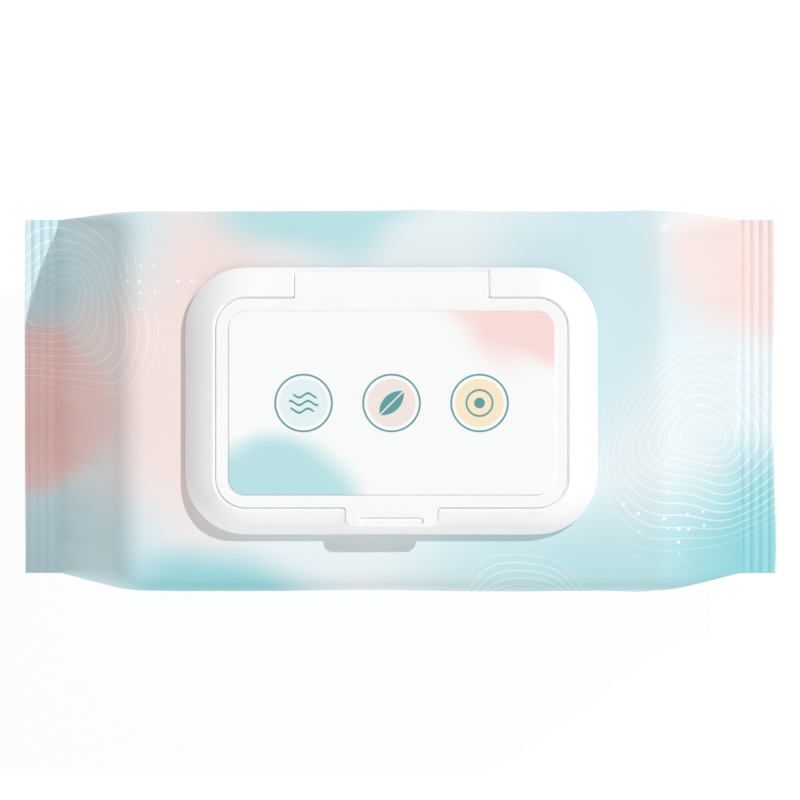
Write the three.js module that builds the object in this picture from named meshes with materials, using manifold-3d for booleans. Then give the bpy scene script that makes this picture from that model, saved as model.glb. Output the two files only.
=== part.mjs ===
// A flow-wrapped pack of wet wipes with a flip-top dispensing lid.
// Millimetres, +Z up. The pack lies on its back, lid uppermost. The origin is the middle of its underside.
// +X runs along the pack towards the right-hand end seal, and +Y towards the lid's hinge.

import * as THREE from 'three';
import { ParametricGeometry } from 'three/addons/geometries/ParametricGeometry.js';
import { mergeVertices } from 'three/addons/utils/BufferGeometryUtils.js';
import Module from 'manifold-3d';

// Film pouch, full and sealed
const POUCH_LENGTH = 200; // over both end seals
const POUCH_WIDTH = 100;
const POUCH_HEIGHT = 56; // underside to the flat film under the lid
const POUCH_EDGE_RADIUS = 6; // along the four long edges
const SHOULDER_LENGTH = 20.5; // where the film slopes from the stack of wipes to a seal
const SEAL_LENGTH = 8.5; // each crimped end seal, along X
const SEAL_WIDTH = 94.5;
const SEAL_THICKNESS = 0.6;
const SEAL_LEVEL = 20; // the seals' mid-plane above the underside
const TUCK_DEPTH = 13; // how far the side film is tucked in where it meets a seal

// Lid frame, glued to the film
const LID_OFFSET_X = -2; // the dispenser's middle from the pouch's
const ADHESIVE_THICKNESS = 0.4;
const ADHESIVE_INSET = 0.8; // the tape stops this far inside the frame's edges
const FRAME_LENGTH = 108.2;
const FRAME_WIDTH = 70;
const FRAME_CORNER = 16;
const FRAME_HEIGHT = 6.6;
const FRAME_FOOT = 1; // upright part of the outer edge, below the sloping rim
const FRAME_WALL = 1.2;
const RIM_WIDTH = 7.7; // sloping rim, from the outer edge to the lid's opening
const FRONT_SAVING = 1.05; // the rim is this much narrower along the front
const RIM_TURN = THREE.MathUtils.degToRad(30); // how far the rim's slope eases from foot to crest
const RIM_LAND = 0.5; // flat crest beside the lid
const LEDGE_WIDTH = 2.8; // step that the lid rests on, round the dispensing window

// Lid flap
const LID_GAP = 0.45; // all round the closed lid
const SEAT_CLEARANCE = 0.3; // under the closed lid
const PLATE_THICKNESS = 1.6;
const PLATE_SKIN = 0.5; // full-size upper part of the plate
const PLATE_STEP = 0.7; // the lower part is this much smaller, so that the back edge swings clear
const PLATE_EDGE = 0.25; // rounding of the plate's rim
const RING_GAP = 0.9; // sealing ring to the window's wall
const RING_THICKNESS = 1;
const RING_DEPTH = 2.2;
const APRON_NOTCH = 51.7; // gap in the frame that the hinge apron fills
const APRON_FOOT = 2.35; // height of the apron's hinged edge above the frame's base
const NOTCH_FLOOR = 1.5; // shelf under the apron, with the hinge line between the two
const TAB_WIDTH = 24;
const TAB_REACH = 4.65; // past the edge of the lid's opening
const TAB_THICKNESS = 1.5;
const TAB_CORNER = 2.5;
const GRIP_WIDTH = 16.8; // lowered finger step on the tab
const GRIP_LENGTH = 2.7;
const GRIP_DEPTH = 0.6;

// Labels
const LABEL_MARGIN = 3.85; // edge of the lid's opening to the label's recess
const LABEL_CLEARANCE = 0.02;
const LABEL_THICKNESS = 0.7; // so that it stands a little proud of the plate
const LABEL_RECESS = 0.35;
const SEAL_LABEL_END_MARGIN = 8.6; // window's end to the peel-off seal, with room for its pull tab
const SEAL_LABEL_SIDE_MARGIN = 5.5;
const SEAL_LABEL_CORNER = 12;
const SEAL_LABEL_THICKNESS = 0.2;
const PULL_TAB_WIDTH = 15;
const PULL_TAB_REACH = 6;

// Smoothness
const ARC_STEPS = 8;
const SHOULDER_STEPS = 9;
const FLAT_STEPS = 6;

const wasm = await Module();
wasm.setup();

// A closed geometry as a solid that can be joined and cut.
function solidOf(geometry) {
	const bare = geometry.clone();
	bare.deleteAttribute('normal');
	bare.deleteAttribute('uv');
	const merged = mergeVertices(bare, 1e-4);
	const corners = merged.index.array;
	const triangles = [];
	for (let i = 0; i < corners.length; i += 3) {
		const [a, b, c] = corners.slice(i, i + 3);
		if (a !== b && b !== c && c !== a) {
			triangles.push(a, b, c);
		}
	}
	return new wasm.Manifold(new wasm.Mesh({
		numProp: 3,
		vertProperties: merged.attributes.position.array,
		triVerts: new Uint32Array(triangles),
	}));
}

function geometryOf(solid) {
	const { vertProperties, triVerts } = solid.getMesh();
	const geometry = new THREE.BufferGeometry();
	geometry.setAttribute('position', new THREE.BufferAttribute(vertProperties, 3));
	geometry.setIndex(new THREE.BufferAttribute(triVerts, 1));
	geometry.computeVertexNormals();
	return geometry;
}

function box(x0, x1, y0, y1, z0, z1) {
	const geometry = new THREE.BoxGeometry(x1 - x0, y1 - y0, z1 - z0);
	return solidOf(geometry.translate((x0 + x1) / 2, (y0 + y1) / 2, (z0 + z1) / 2));
}

// How much further forward than on the other sides an inset line lies along the frame's front.
function frontShift(inset) {
	return FRONT_SAVING * Math.min(inset / RIM_WIDTH, 1);
}

// A rounded rectangle that lies a distance inside the frame's outer edge, with concentric corners.
function insetOutline(inset, Type = THREE.Shape) {
	const shift = frontShift(inset);
	const width = FRAME_WIDTH - 2 * inset + shift;
	return roundedRectangle(FRAME_LENGTH - 2 * inset, width, FRAME_CORNER - inset, Type, -shift / 2);
}

function roundedRectangle(length, width, radius, Type = THREE.Shape, middle = 0) {
	const x = length / 2 - radius;
	const back = middle + width / 2 - radius;
	const front = middle - width / 2 + radius;
	const outline = new Type();
	outline.absarc(x, back, radius, 0, Math.PI / 2);
	outline.absarc(-x, back, radius, Math.PI / 2, Math.PI);
	outline.absarc(-x, front, radius, Math.PI, 1.5 * Math.PI);
	outline.absarc(x, front, radius, 1.5 * Math.PI, 2 * Math.PI);
	outline.closePath();
	return outline;
}

// A flat plate of an outline, from z0 to z1, with its two rims rounded by edge.
function plate(outline, z0, z1, edge = 0) {
	const geometry = new THREE.ExtrudeGeometry(outline, {
		depth: z1 - z0 - 2 * edge,
		curveSegments: ARC_STEPS,
		bevelEnabled: edge > 0,
		bevelThickness: edge,
		bevelSize: edge,
		bevelOffset: -edge,
		bevelSegments: 2,
	});
	return solidOf(geometry.translate(0, 0, z0 + edge));
}

// A section drawn in Y and Z, run along X over a width centred on x = 0.
function runAlongX(section, width) {
	const geometry = new THREE.ExtrudeGeometry(section, { depth: width, bevelEnabled: false });
	geometry.translate(0, 0, -width / 2);
	const [x, y, z] = [new THREE.Vector3(1, 0, 0), new THREE.Vector3(0, 1, 0), new THREE.Vector3(0, 0, 1)];
	return solidOf(geometry.applyMatrix4(new THREE.Matrix4().makeBasis(y, z, x)));
}

// Film pouch: half sizes of its section at a distance along X from the middle.
const SEAL_START = POUCH_LENGTH / 2 - SEAL_LENGTH;
const BODY_END = SEAL_START - SHOULDER_LENGTH;

function pouchSection(x) {
	const t = THREE.MathUtils.clamp((Math.abs(x) - BODY_END) / SHOULDER_LENGTH, 0, 1);
	const fall = (t + THREE.MathUtils.smoothstep(t, 0, 1)) / 2; // nearly straight, rounded at both ends
	const top = THREE.MathUtils.lerp(POUCH_HEIGHT, SEAL_LEVEL + SEAL_THICKNESS / 2, fall);
	const bottom = THREE.MathUtils.lerp(0, SEAL_LEVEL - SEAL_THICKNESS / 2, fall);
	return {
		halfWidth: THREE.MathUtils.lerp(POUCH_WIDTH, SEAL_WIDTH, t) / 2,
		top,
		bottom,
		radius: Math.min(POUCH_EDGE_RADIUS, 0.4 * (top - bottom)),
		tuck: t < 1 ? TUCK_DEPTH * t : 0,
	};
}

// The section's outline, from the upper +Y edge across the top, down the -Y side, and back underneath.
function pouchOutline({ halfWidth, top, bottom, radius, tuck }) {
	const flat = halfWidth - radius;
	const middle = (top + bottom) / 2;
	const half = [];
	for (let i = 0; i <= ARC_STEPS; i++) {
		const angle = (i / ARC_STEPS) * (Math.PI / 2);
		half.push([flat + radius * Math.cos(angle), top - radius + radius * Math.sin(angle)]);
	}
	for (let i = 1; i < FLAT_STEPS; i++) {
		half.push([flat - (2 * flat * i) / FLAT_STEPS, top]);
	}
	for (let i = 0; i <= ARC_STEPS; i++) {
		const angle = (1 + i / ARC_STEPS) * (Math.PI / 2);
		half.push([-flat + radius * Math.cos(angle), top - radius + radius * Math.sin(angle)]);
	}
	half.push([tuck - halfWidth, middle]);
	// The lower half is the upper one turned half round about the section's middle.
	return half.concat(half.map(([y, z]) => [-y, top + bottom - z]), [half[0]]);
}

function filmPouch() {
	const stations = [-POUCH_LENGTH / 2, -POUCH_LENGTH / 2, -SEAL_START];
	for (let i = 1; i < SHOULDER_STEPS; i++) {
		stations.push(-SEAL_START + (SHOULDER_LENGTH * i) / SHOULDER_STEPS);
	}
	stations.push(-BODY_END);
	const all = stations.concat(stations.map((x) => -x).reverse());
	const rows = all.map((x, i) => {
		const section = pouchSection(x);
		const closed = i === 0 || i === all.length - 1; // the film's cut end
		return pouchOutline(section).map(([y, z]) => [x, y, closed ? SEAL_LEVEL : z]);
	});
	const around = rows[0].length - 1;
	const point = (u, v, target) => {
		const row = rows[Math.round(v * (rows.length - 1))];
		return target.fromArray(row[Math.round(u * around)]);
	};
	return solidOf(new ParametricGeometry(point, around, rows.length - 1));
}

// Frame: a closed section of [inset, height] points swept round its rounded outline.
function sweepRound(section) {
	const corners = [];
	[[1, 1], [-1, 1], [-1, -1], [1, -1]].forEach(([sx, sy], quarter) => {
		for (let i = 0; i <= ARC_STEPS; i++) {
			corners.push({
				x: sx * (FRAME_LENGTH / 2 - FRAME_CORNER),
				y: sy * (FRAME_WIDTH / 2 - FRAME_CORNER),
				angle: (quarter + i / ARC_STEPS) * (Math.PI / 2),
			});
		}
	});
	const point = (u, v, target) => {
		const { x, y, angle } = corners[Math.round(u * corners.length) % corners.length];
		const [inset, height] = section[Math.round(v * section.length) % section.length];
		const radius = FRAME_CORNER - inset;
		const shift = y < 0 ? frontShift(inset) : 0;
		return target.set(x + radius * Math.cos(angle), y - shift + radius * Math.sin(angle), height);
	};
	return solidOf(new ParametricGeometry(point, corners.length, section.length));
}

// Points of the rim's arched slope, or of a surface a wall inside it, from one height to its crest.
const SLOPE_WIDTH = RIM_WIDTH - RIM_LAND;
const SLOPE_RISE = FRAME_HEIGHT - FRAME_FOOT;
const SLOPE_RADIUS = Math.hypot(SLOPE_WIDTH, SLOPE_RISE) / (2 * Math.sin(RIM_TURN / 2));
const FOOT_PITCH = Math.atan2(SLOPE_RISE, SLOPE_WIDTH) + RIM_TURN / 2;
const SLOPE_CENTRE = [
	SLOPE_RADIUS * Math.sin(FOOT_PITCH),
	FRAME_FOOT - SLOPE_RADIUS * Math.cos(FOOT_PITCH),
];

function slopeCurve(wall, fromHeight) {
	const [inset, height] = SLOPE_CENTRE;
	const radius = SLOPE_RADIUS - wall;
	const start = Math.acos((fromHeight - height) / radius);
	return Array.from({ length: ARC_STEPS + 1 }, (_, i) => {
		const pitch = THREE.MathUtils.lerp(start, FOOT_PITCH - RIM_TURN, i / ARC_STEPS);
		return [inset - radius * Math.sin(pitch), height + radius * Math.cos(pitch)];
	});
}

const LEDGE_LEVEL = FRAME_HEIGHT - PLATE_THICKNESS - SEAT_CLEARANCE;
const WINDOW_INSET = RIM_WIDTH + LEDGE_WIDTH;

function frameSection(hollow) {
	const outside = [[0, 0], ...slopeCurve(0, FRAME_FOOT), [RIM_WIDTH, FRAME_HEIGHT],
		[RIM_WIDTH, LEDGE_LEVEL], [WINDOW_INSET, LEDGE_LEVEL], [WINDOW_INSET, 0]];
	if (!hollow) {
		return outside;
	}
	const roof = LEDGE_LEVEL - FRAME_WALL;
	const inside = slopeCurve(FRAME_WALL, FRAME_FOOT).filter(([inset]) => inset < RIM_WIDTH - FRAME_WALL);
	return [...outside, [WINDOW_INSET - FRAME_WALL, 0], [WINDOW_INSET - FRAME_WALL, roof],
		[RIM_WIDTH - FRAME_WALL, roof], ...inside.reverse(), [FRAME_WALL, 0]];
}

const BACK = FRAME_WIDTH / 2;
const FRONT = -FRAME_WIDTH / 2;
const FRONT_RIM = FRONT + RIM_WIDTH - FRONT_SAVING; // front edge of the lid's opening
const TAB_NOTCH = TAB_WIDTH + 2 * LID_GAP;

function lidFrame() {
	const clear = FRAME_HEIGHT + 1;
	const filled = sweepRound(frameSection(false));
	const hingeSide = APRON_NOTCH / 2 + FRAME_WALL;
	const tabSide = TAB_NOTCH / 2 + FRAME_WALL;
	const hingeBlock = filled.intersect(box(-hingeSide, hingeSide, 0, BACK + 1, 0, clear));
	const tabBlock = filled.intersect(box(-tabSide, tabSide, FRONT - 1, 0, 0, clear));
	const apronNotch = box(-APRON_NOTCH / 2, APRON_NOTCH / 2, BACK - RIM_WIDTH, BACK + 1, NOTCH_FLOOR, clear);
	const tabNotch = box(-TAB_NOTCH / 2, TAB_NOTCH / 2, FRONT - 1, FRONT_RIM, LEDGE_LEVEL, clear);
	return sweepRound(frameSection(true)).add(hingeBlock).add(tabBlock)
		.subtract(apronNotch).subtract(tabNotch);
}

// Lid flap: plate, sealing ring, hinge apron and finger tab, moulded in one.
const PLATE_INSET = RIM_WIDTH + LID_GAP;
const PLATE_UNDERSIDE = FRAME_HEIGHT - PLATE_THICKNESS;
const LABEL_INSET = RIM_WIDTH + LABEL_MARGIN;

function lidApron() {
	const join = PLATE_INSET + 2 * PLATE_STEP;
	const outer = slopeCurve(0, APRON_FOOT);
	const inner = slopeCurve(FRAME_WALL, APRON_FOOT).reverse();
	const points = [...outer, [join, FRAME_HEIGHT], [join, PLATE_UNDERSIDE], ...inner];
	const section = new THREE.Shape(points.map(([inset, height]) => new THREE.Vector2(BACK - inset, height)));
	return runAlongX(section, APRON_NOTCH - 2 * LID_GAP);
}

function lidTab() {
	const reach = TAB_REACH + PLATE_STEP + LID_GAP;
	const tip = FRONT_RIM - TAB_REACH;
	const length = reach + TAB_CORNER;
	const outline = roundedRectangle(TAB_WIDTH, length, TAB_CORNER);
	const tab = plate(outline, FRAME_HEIGHT - TAB_THICKNESS, FRAME_HEIGHT, PLATE_EDGE)
		.translate([0, tip + length / 2, 0]);
	const grip = GRIP_WIDTH / 2;
	const step = box(-grip, grip, tip - 1, tip + GRIP_LENGTH, FRAME_HEIGHT - GRIP_DEPTH, FRAME_HEIGHT + 1);
	return tab.subtract(step);
}

function lidFlap() {
	const skin = plate(insetOutline(PLATE_INSET), FRAME_HEIGHT - PLATE_SKIN, FRAME_HEIGHT, PLATE_EDGE);
	const core = plate(insetOutline(PLATE_INSET + PLATE_STEP), PLATE_UNDERSIDE, FRAME_HEIGHT - PLATE_EDGE);
	const ringOutline = insetOutline(WINDOW_INSET + RING_GAP);
	ringOutline.holes.push(insetOutline(WINDOW_INSET + RING_GAP + RING_THICKNESS, THREE.Path));
	const ring = plate(ringOutline, PLATE_UNDERSIDE - RING_DEPTH, PLATE_UNDERSIDE + PLATE_EDGE);
	const recess = plate(insetOutline(LABEL_INSET), FRAME_HEIGHT - LABEL_RECESS, FRAME_HEIGHT + 1);
	return skin.add(core).add(ring).add(lidApron()).add(lidTab()).subtract(recess);
}

function lidLabel() {
	const floor = FRAME_HEIGHT - LABEL_RECESS;
	return plate(insetOutline(LABEL_INSET + LABEL_CLEARANCE), floor, floor + LABEL_THICKNESS);
}

function frameAdhesive() {
	const outline = insetOutline(ADHESIVE_INSET);
	outline.holes.push(insetOutline(WINDOW_INSET - ADHESIVE_INSET / 2, THREE.Path));
	return plate(outline, 0, ADHESIVE_THICKNESS);
}

// Peel-off seal over the film's die-cut opening, with a pull tab at its right-hand end.
function peelSeal() {
	const length = FRAME_LENGTH - 2 * (WINDOW_INSET + SEAL_LABEL_END_MARGIN);
	const width = FRAME_WIDTH - 2 * (WINDOW_INSET + SEAL_LABEL_SIDE_MARGIN);
	const sheet = roundedRectangle(length, width, SEAL_LABEL_CORNER);
	const tabLength = PULL_TAB_REACH + SEAL_LABEL_CORNER;
	const tab = roundedRectangle(tabLength, PULL_TAB_WIDTH, PULL_TAB_REACH);
	const tabMiddle = length / 2 + PULL_TAB_REACH - tabLength / 2;
	return plate(sheet, 0, SEAL_LABEL_THICKNESS)
		.add(plate(tab, 0, SEAL_LABEL_THICKNESS).translate([tabMiddle, 0, 0]));
}

// Scene graph
function piece(name, solid, color, roughness) {
	const material = new THREE.MeshStandardMaterial({ color, roughness, metalness: 0 });
	const mesh = new THREE.Mesh(geometryOf(solid), material);
	mesh.name = name;
	return mesh;
}

const dispenser = new THREE.Group();
dispenser.position.set(LID_OFFSET_X, 0, POUCH_HEIGHT);
dispenser.add(piece('frame_adhesive', frameAdhesive(), 0xe6e3da, 0.6));
dispenser.add(piece('peel_seal', peelSeal(), 0xbfe3e4, 0.45));

const flipTop = new THREE.Group();
flipTop.position.z = ADHESIVE_THICKNESS;
flipTop.add(piece('lid_frame', lidFrame(), 0xf7f7f6, 0.35));
flipTop.add(piece('lid', lidFlap(), 0xfafafa, 0.35));
flipTop.add(piece('lid_label', lidLabel(), 0xfcfcfc, 0.4));
dispenser.add(flipTop);

const pack = new THREE.Group();
pack.add(piece('film_pouch', filmPouch(), 0xc9e4e6, 0.42));
pack.add(dispenser);

export default pack;
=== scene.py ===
"""Looks of a flow-wrapped pack of wet wipes with a flip-top dispensing lid.

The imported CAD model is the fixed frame: +X runs along the pack, +Y towards the lid's hinge and +Z up,
and the pack lies on its back. Sizes here are in millimetres where no comment says metres, and each mesh
is turned into metres once, when it is made. The film is lofted and crimped, the lid's moulding is swept
and filled from its own outlines, and every finish is procedural.
"""

import logging
import math
from dataclasses import dataclass
from enum import Enum
from typing import Any, Callable, Sequence

import bmesh
import bpy
import numpy as np
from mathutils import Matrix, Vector, geometry

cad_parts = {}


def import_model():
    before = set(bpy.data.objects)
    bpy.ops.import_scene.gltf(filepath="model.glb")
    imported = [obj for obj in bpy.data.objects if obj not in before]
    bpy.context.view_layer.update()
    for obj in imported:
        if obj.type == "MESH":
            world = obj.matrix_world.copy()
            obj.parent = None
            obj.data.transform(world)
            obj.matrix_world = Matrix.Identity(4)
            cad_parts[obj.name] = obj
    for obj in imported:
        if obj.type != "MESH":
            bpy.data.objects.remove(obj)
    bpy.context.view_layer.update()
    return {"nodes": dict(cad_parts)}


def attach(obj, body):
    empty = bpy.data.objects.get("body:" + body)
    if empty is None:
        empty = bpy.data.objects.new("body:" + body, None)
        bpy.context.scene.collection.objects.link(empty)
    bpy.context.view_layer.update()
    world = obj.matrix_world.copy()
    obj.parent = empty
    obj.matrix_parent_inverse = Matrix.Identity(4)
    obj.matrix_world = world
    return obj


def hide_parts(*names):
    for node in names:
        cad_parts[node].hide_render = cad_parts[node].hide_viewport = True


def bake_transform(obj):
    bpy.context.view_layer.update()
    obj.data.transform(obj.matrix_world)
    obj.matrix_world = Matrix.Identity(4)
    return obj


MM = 0.001
FILM_MAP = "OFBake"
LOG = logging.getLogger("wipes_pack")

Point2 = tuple[float, float]
Point3 = tuple[float, float, float]
Corner = tuple[float, float, float]  # a place in a plane, and the radius there
Colour = tuple[float, float, float, float]
Input = Any  # a node socket, a number or a tuple

TINY = 1e-9  # keeps a division by a length sound


class Body(str, Enum):
    """The two rigid bodies of the frame."""

    PACK = "pack"
    LID = "lid"


def linear(red: int, green: int, blue: int) -> Colour:
    """Turns a display colour into the linear one that a shader takes.

    Args:
        red, green, blue: Display values from 0 to 255.

    Returns:
        Linear red, green and blue, and full opacity.
    """
    def channel(value: int) -> float:
        """One channel, by the sRGB curve."""
        share = value / 255
        return share / 12.92 if share <= 0.04045 else ((share + 0.055) / 1.055) ** 2.4

    return channel(red), channel(green), channel(blue), 1.0


def fillet(corners: Sequence[Corner], steps: int = 8) -> list[Point2]:
    """Rounds the corners of a closed path.

    Args:
        corners: Each corner's two coordinates and its radius, where 0 keeps it sharp.
        steps: Segments in each rounded corner.

    Returns:
        The path's points in the same order.
    """
    path: list[Point2] = []
    count = len(corners)
    for i, (x, y, radius) in enumerate(corners):
        here = Vector((x, y))
        if radius <= 0:
            path.append((x, y))
            continue
        before = (Vector(corners[i - 1][:2]) - here).normalized()
        after = (Vector(corners[(i + 1) % count][:2]) - here).normalized()
        half = before.angle(after) / 2
        centre = here + (before + after).normalized() * (radius / math.sin(half))
        start = here + before * (radius / math.tan(half)) - centre
        turn = start.angle_signed(here + after * (radius / math.tan(half)) - centre)
        first = math.atan2(start.y, start.x)
        for k in range(steps + 1):
            angle = first - turn * k / steps
            path.append((centre.x + radius * math.cos(angle), centre.y + radius * math.sin(angle)))
    return path


def inset(loop: Sequence[Point2], inwards: float, mitre_limit: float = 0.5) -> list[Point2]:
    """Moves an anticlockwise loop inwards along its own normals.

    Args:
        loop: The loop's points, with rounded corners.
        inwards: How far to move, where a negative number moves outwards.
        mitre_limit: Keeps a sharp corner from running away.

    Returns:
        As many points as the loop has.
    """
    points = np.array(loop)
    along = np.roll(points, -1, axis=0) - points
    along /= np.maximum(np.linalg.norm(along, axis=1, keepdims=True), TINY)
    inward = np.stack([-along[:, 1], along[:, 0]], axis=1)
    mitre = inward + np.roll(inward, 1, axis=0)
    mitre /= np.maximum((mitre * inward).sum(axis=1, keepdims=True), mitre_limit)
    return [tuple(p) for p in points + inwards * mitre]


def inside(point: Point2, loop: Sequence[Point2]) -> bool:
    """Whether a point lies within a loop, by counting crossings."""
    x, y = point
    crossings = 0
    for (x0, y0), (x1, y1) in zip(loop, [*loop[1:], loop[0]]):
        if (y0 > y) != (y1 > y) and x < x0 + (y - y0) * (x1 - x0) / (y1 - y0):
            crossings += 1
    return crossings % 2 == 1


class MeshBuilder:
    """Gathers rows of points, in millimetres, and faces, and makes one mesh object of them."""

    SHARP_ANGLE = math.radians(24)
    MERGE_DISTANCE = 2e-7  # metres
    FILL_TOLERANCE = 1e-7

    def __init__(self) -> None:
        """Starts with no points."""
        self.points: list[Point3] = []
        self.faces: list[tuple[int, ...]] = []

    def row(self, points: Sequence[Point3]) -> list[int]:
        """Adds a row of points and returns their numbers."""
        first = len(self.points)
        self.points.extend(tuple(float(c) for c in p) for p in points)
        return list(range(first, len(self.points)))

    def bridge(self, a: Sequence[int], b: Sequence[int], closed: bool = True) -> None:
        """Joins two rows of as many points with a strip of quads.

        Args:
            a, b: The rows' point numbers.
            closed: Whether each row's last point joins its first.
        """
        count = len(a) if closed else len(a) - 1
        for i in range(count):
            j = (i + 1) % len(a)
            self.faces.append((a[i], a[j], b[j], b[i]))

    def skin(self, rows: Sequence[Sequence[int]], closed: bool = True, looped: bool = False) -> None:
        """Bridges each row to the next, and the last to the first where looped."""
        for a, b in zip(rows, rows[1:]):
            self.bridge(a, b, closed)
        if looped:
            self.bridge(rows[-1], rows[0], closed)

    def fill(self, rows: Sequence[Sequence[int]], plans: Sequence[Sequence[Point2]],
             ties: Sequence[tuple[int, int]] = (),
             loose: tuple[Sequence[int], Sequence[Point2]] = ((), ())) -> None:
        """Fills an outline, less the loops inside it, with triangles.

        Args:
            rows: Point numbers of the outline and then of each loop that stays open.
            plans: The same rows' places in the plane that the filling is worked out in.
            ties: Pairs of places in the outline that an edge has to join.
            loose: Point numbers and places of further points inside the outline.
        """
        numbers = [n for row in rows for n in row] + list(loose[0])
        places = [Vector(p) for plan in plans for p in plan] + [Vector(p) for p in loose[1]]
        edges = list(ties)
        first = 0
        for row in rows:
            edges.extend((first + i, first + (i + 1) % len(row)) for i in range(len(row)))
            first += len(row)
        found = geometry.delaunay_2d_cdt(places, edges, [], 0, self.FILL_TOLERANCE)
        verts, triangles, origins = found[0], found[2], found[3]
        for triangle in triangles:
            middle = sum((verts[i] for i in triangle), Vector((0, 0))) / 3
            if inside(middle, plans[0]) and not any(inside(middle, plan) for plan in plans[1:]):
                self.faces.append(tuple(numbers[origins[i][0]] for i in triangle))

    def build(self, name: str, uv: Callable[[int], Point2] | None = None) -> bpy.types.Object:
        """Makes the object, with its faces outwards and its edges sharp where they turn.

        Args:
            name: The piece's name.
            uv: Gives a point's place on the flat material, by point number.

        Returns:
            The object, in metres, at the origin.
        """
        mesh = bpy.data.meshes.new(name)
        mesh.from_pydata([[c * MM for c in p] for p in self.points], [], self.faces)
        if uv:
            layer = mesh.uv_layers.new(name=FILM_MAP)
            for loop in mesh.loops:
                layer.data[loop.index].uv = uv(loop.vertex_index)
        work = bmesh.new()
        work.from_mesh(mesh)
        bmesh.ops.remove_doubles(work, verts=work.verts, dist=self.MERGE_DISTANCE)
        bmesh.ops.dissolve_degenerate(work, dist=self.MERGE_DISTANCE, edges=work.edges)
        bmesh.ops.recalc_face_normals(work, faces=work.faces)
        for face in work.faces:
            face.smooth = True
        for edge in work.edges:
            edge.smooth = edge.calc_face_angle(0) < self.SHARP_ANGLE
        work.to_mesh(mesh)
        work.free()
        made = bpy.data.objects.new(name, mesh)
        bpy.context.scene.collection.objects.link(made)
        return made


def flatten_shading(piece: bpy.types.Object, weight: int = 70) -> None:
    """Keeps broad flat faces flat beside small rounded edges, by the weight of a face's size."""
    modifier = piece.modifiers.new("flat_faces", "WEIGHTED_NORMAL")
    modifier.keep_sharp = True
    modifier.weight = weight


def dress(piece: bpy.types.Object, material: bpy.types.Material) -> None:
    """Gives a piece one material all over."""
    if not piece.material_slots:
        piece.data.materials.append(material)
    for slot in piece.material_slots:
        slot.material = material


class NodeGraph:
    """A material's node tree, with short calls for the arithmetic that a print needs."""

    def __init__(self, name: str) -> None:
        """Starts a material that has only its output node."""
        self.material = bpy.data.materials.new(name)
        self.material.use_nodes = True
        self.tree = self.material.node_tree
        self.tree.nodes.clear()
        self.output = self.tree.nodes.new("ShaderNodeOutputMaterial")

    def feed(self, socket: bpy.types.NodeSocket, value: Input) -> None:
        """Links a socket into an input, or sets the input's own value."""
        if isinstance(value, bpy.types.NodeSocket):
            self.tree.links.new(value, socket)
        else:
            socket.default_value = value

    def node(self, kind: str, settings: dict[str, Any] | None = None, **inputs: Input) -> bpy.types.Node:
        """Adds a node.

        Args:
            kind: The node's type name.
            settings: The node's own properties.
            inputs: Values for its inputs, by name with _ for each space.

        Returns:
            The node.
        """
        made = self.tree.nodes.new(kind)
        for key, value in (settings or {}).items():
            setattr(made, key, value)
        for key, value in inputs.items():
            self.feed(made.inputs[key.replace("_", " ")], value)
        return made

    def math(self, operation: str, *values: Input) -> bpy.types.NodeSocket:
        """Adds a math node on up to three values and returns its result."""
        made = self.tree.nodes.new("ShaderNodeMath")
        made.operation = operation
        for socket, value in zip(made.inputs, values):
            self.feed(socket, value)
        return made.outputs[0]

    def ramp(self, value: Input, low: float, high: float) -> bpy.types.NodeSocket:
        """A smooth step of a value, from 0 at low to 1 at high, which may be the smaller."""
        made = self.node("ShaderNodeMapRange", {"interpolation_type": "SMOOTHSTEP"},
                         Value=value, From_Min=low, From_Max=high)
        return made.outputs["Result"]

    def mix(self, share: Input, below: Input, above: Input) -> bpy.types.NodeSocket:
        """One colour over another, by a share from 0 to 1."""
        made = self.tree.nodes.new("ShaderNodeMix")
        made.data_type = "RGBA"
        # The colour sockets come after those for numbers and vectors.
        for number, value in ((0, share), (6, below), (7, above)):
            self.feed(made.inputs[number], value)
        return made.outputs[2]

    def split(self, vector: bpy.types.NodeSocket) -> tuple[bpy.types.NodeSocket, ...]:
        """A vector's three parts."""
        return tuple(self.node("ShaderNodeSeparateXYZ", Vector=vector).outputs)

    def noise(self, vector: Input, scale: float, detail: float = 2.0) -> bpy.types.NodeSocket:
        """A soft random field from 0 to 1."""
        return self.node("ShaderNodeTexNoise", Vector=vector, Scale=scale, Detail=detail).outputs[0]

    def waver(self, vector: Input, scale: float, middle: float, spread: float,
              detail: float = 2.0) -> bpy.types.NodeSocket:
        """A value that wanders softly about a middle one, over a spread."""
        return self.math("MULTIPLY_ADD", self.noise(vector, scale, detail), spread, middle - spread / 2)

    def object_place(self, centre_x: float, centre_y: float) -> bpy.types.NodeSocket:
        """The place on the object in millimetres, from a point of the shared frame."""
        where = self.node("ShaderNodeTexCoord").outputs["Object"]
        return self.node("ShaderNodeMapping", {"vector_type": "POINT"}, Vector=where,
                         Scale=(1 / MM, 1 / MM, 1 / MM), Location=(-centre_x, -centre_y, 0)).outputs[0]

    def bump(self, height: Input, distance: float, strength: float,
             under: Input = None) -> bpy.types.NodeSocket:
        """A bumped normal, over another where one is given."""
        made = self.node("ShaderNodeBump", Height=height, Distance=distance, Strength=strength)
        if under is not None:
            self.feed(made.inputs["Normal"], under)
        return made.outputs["Normal"]

    def finish(self, **inputs: Input) -> bpy.types.Material:
        """Ends the tree in a Principled shader with these inputs, and returns the material."""
        shader = self.node("ShaderNodeBsdfPrincipled", **inputs)
        self.tree.links.new(shader.outputs[0], self.output.inputs["Surface"])
        return self.material


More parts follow.
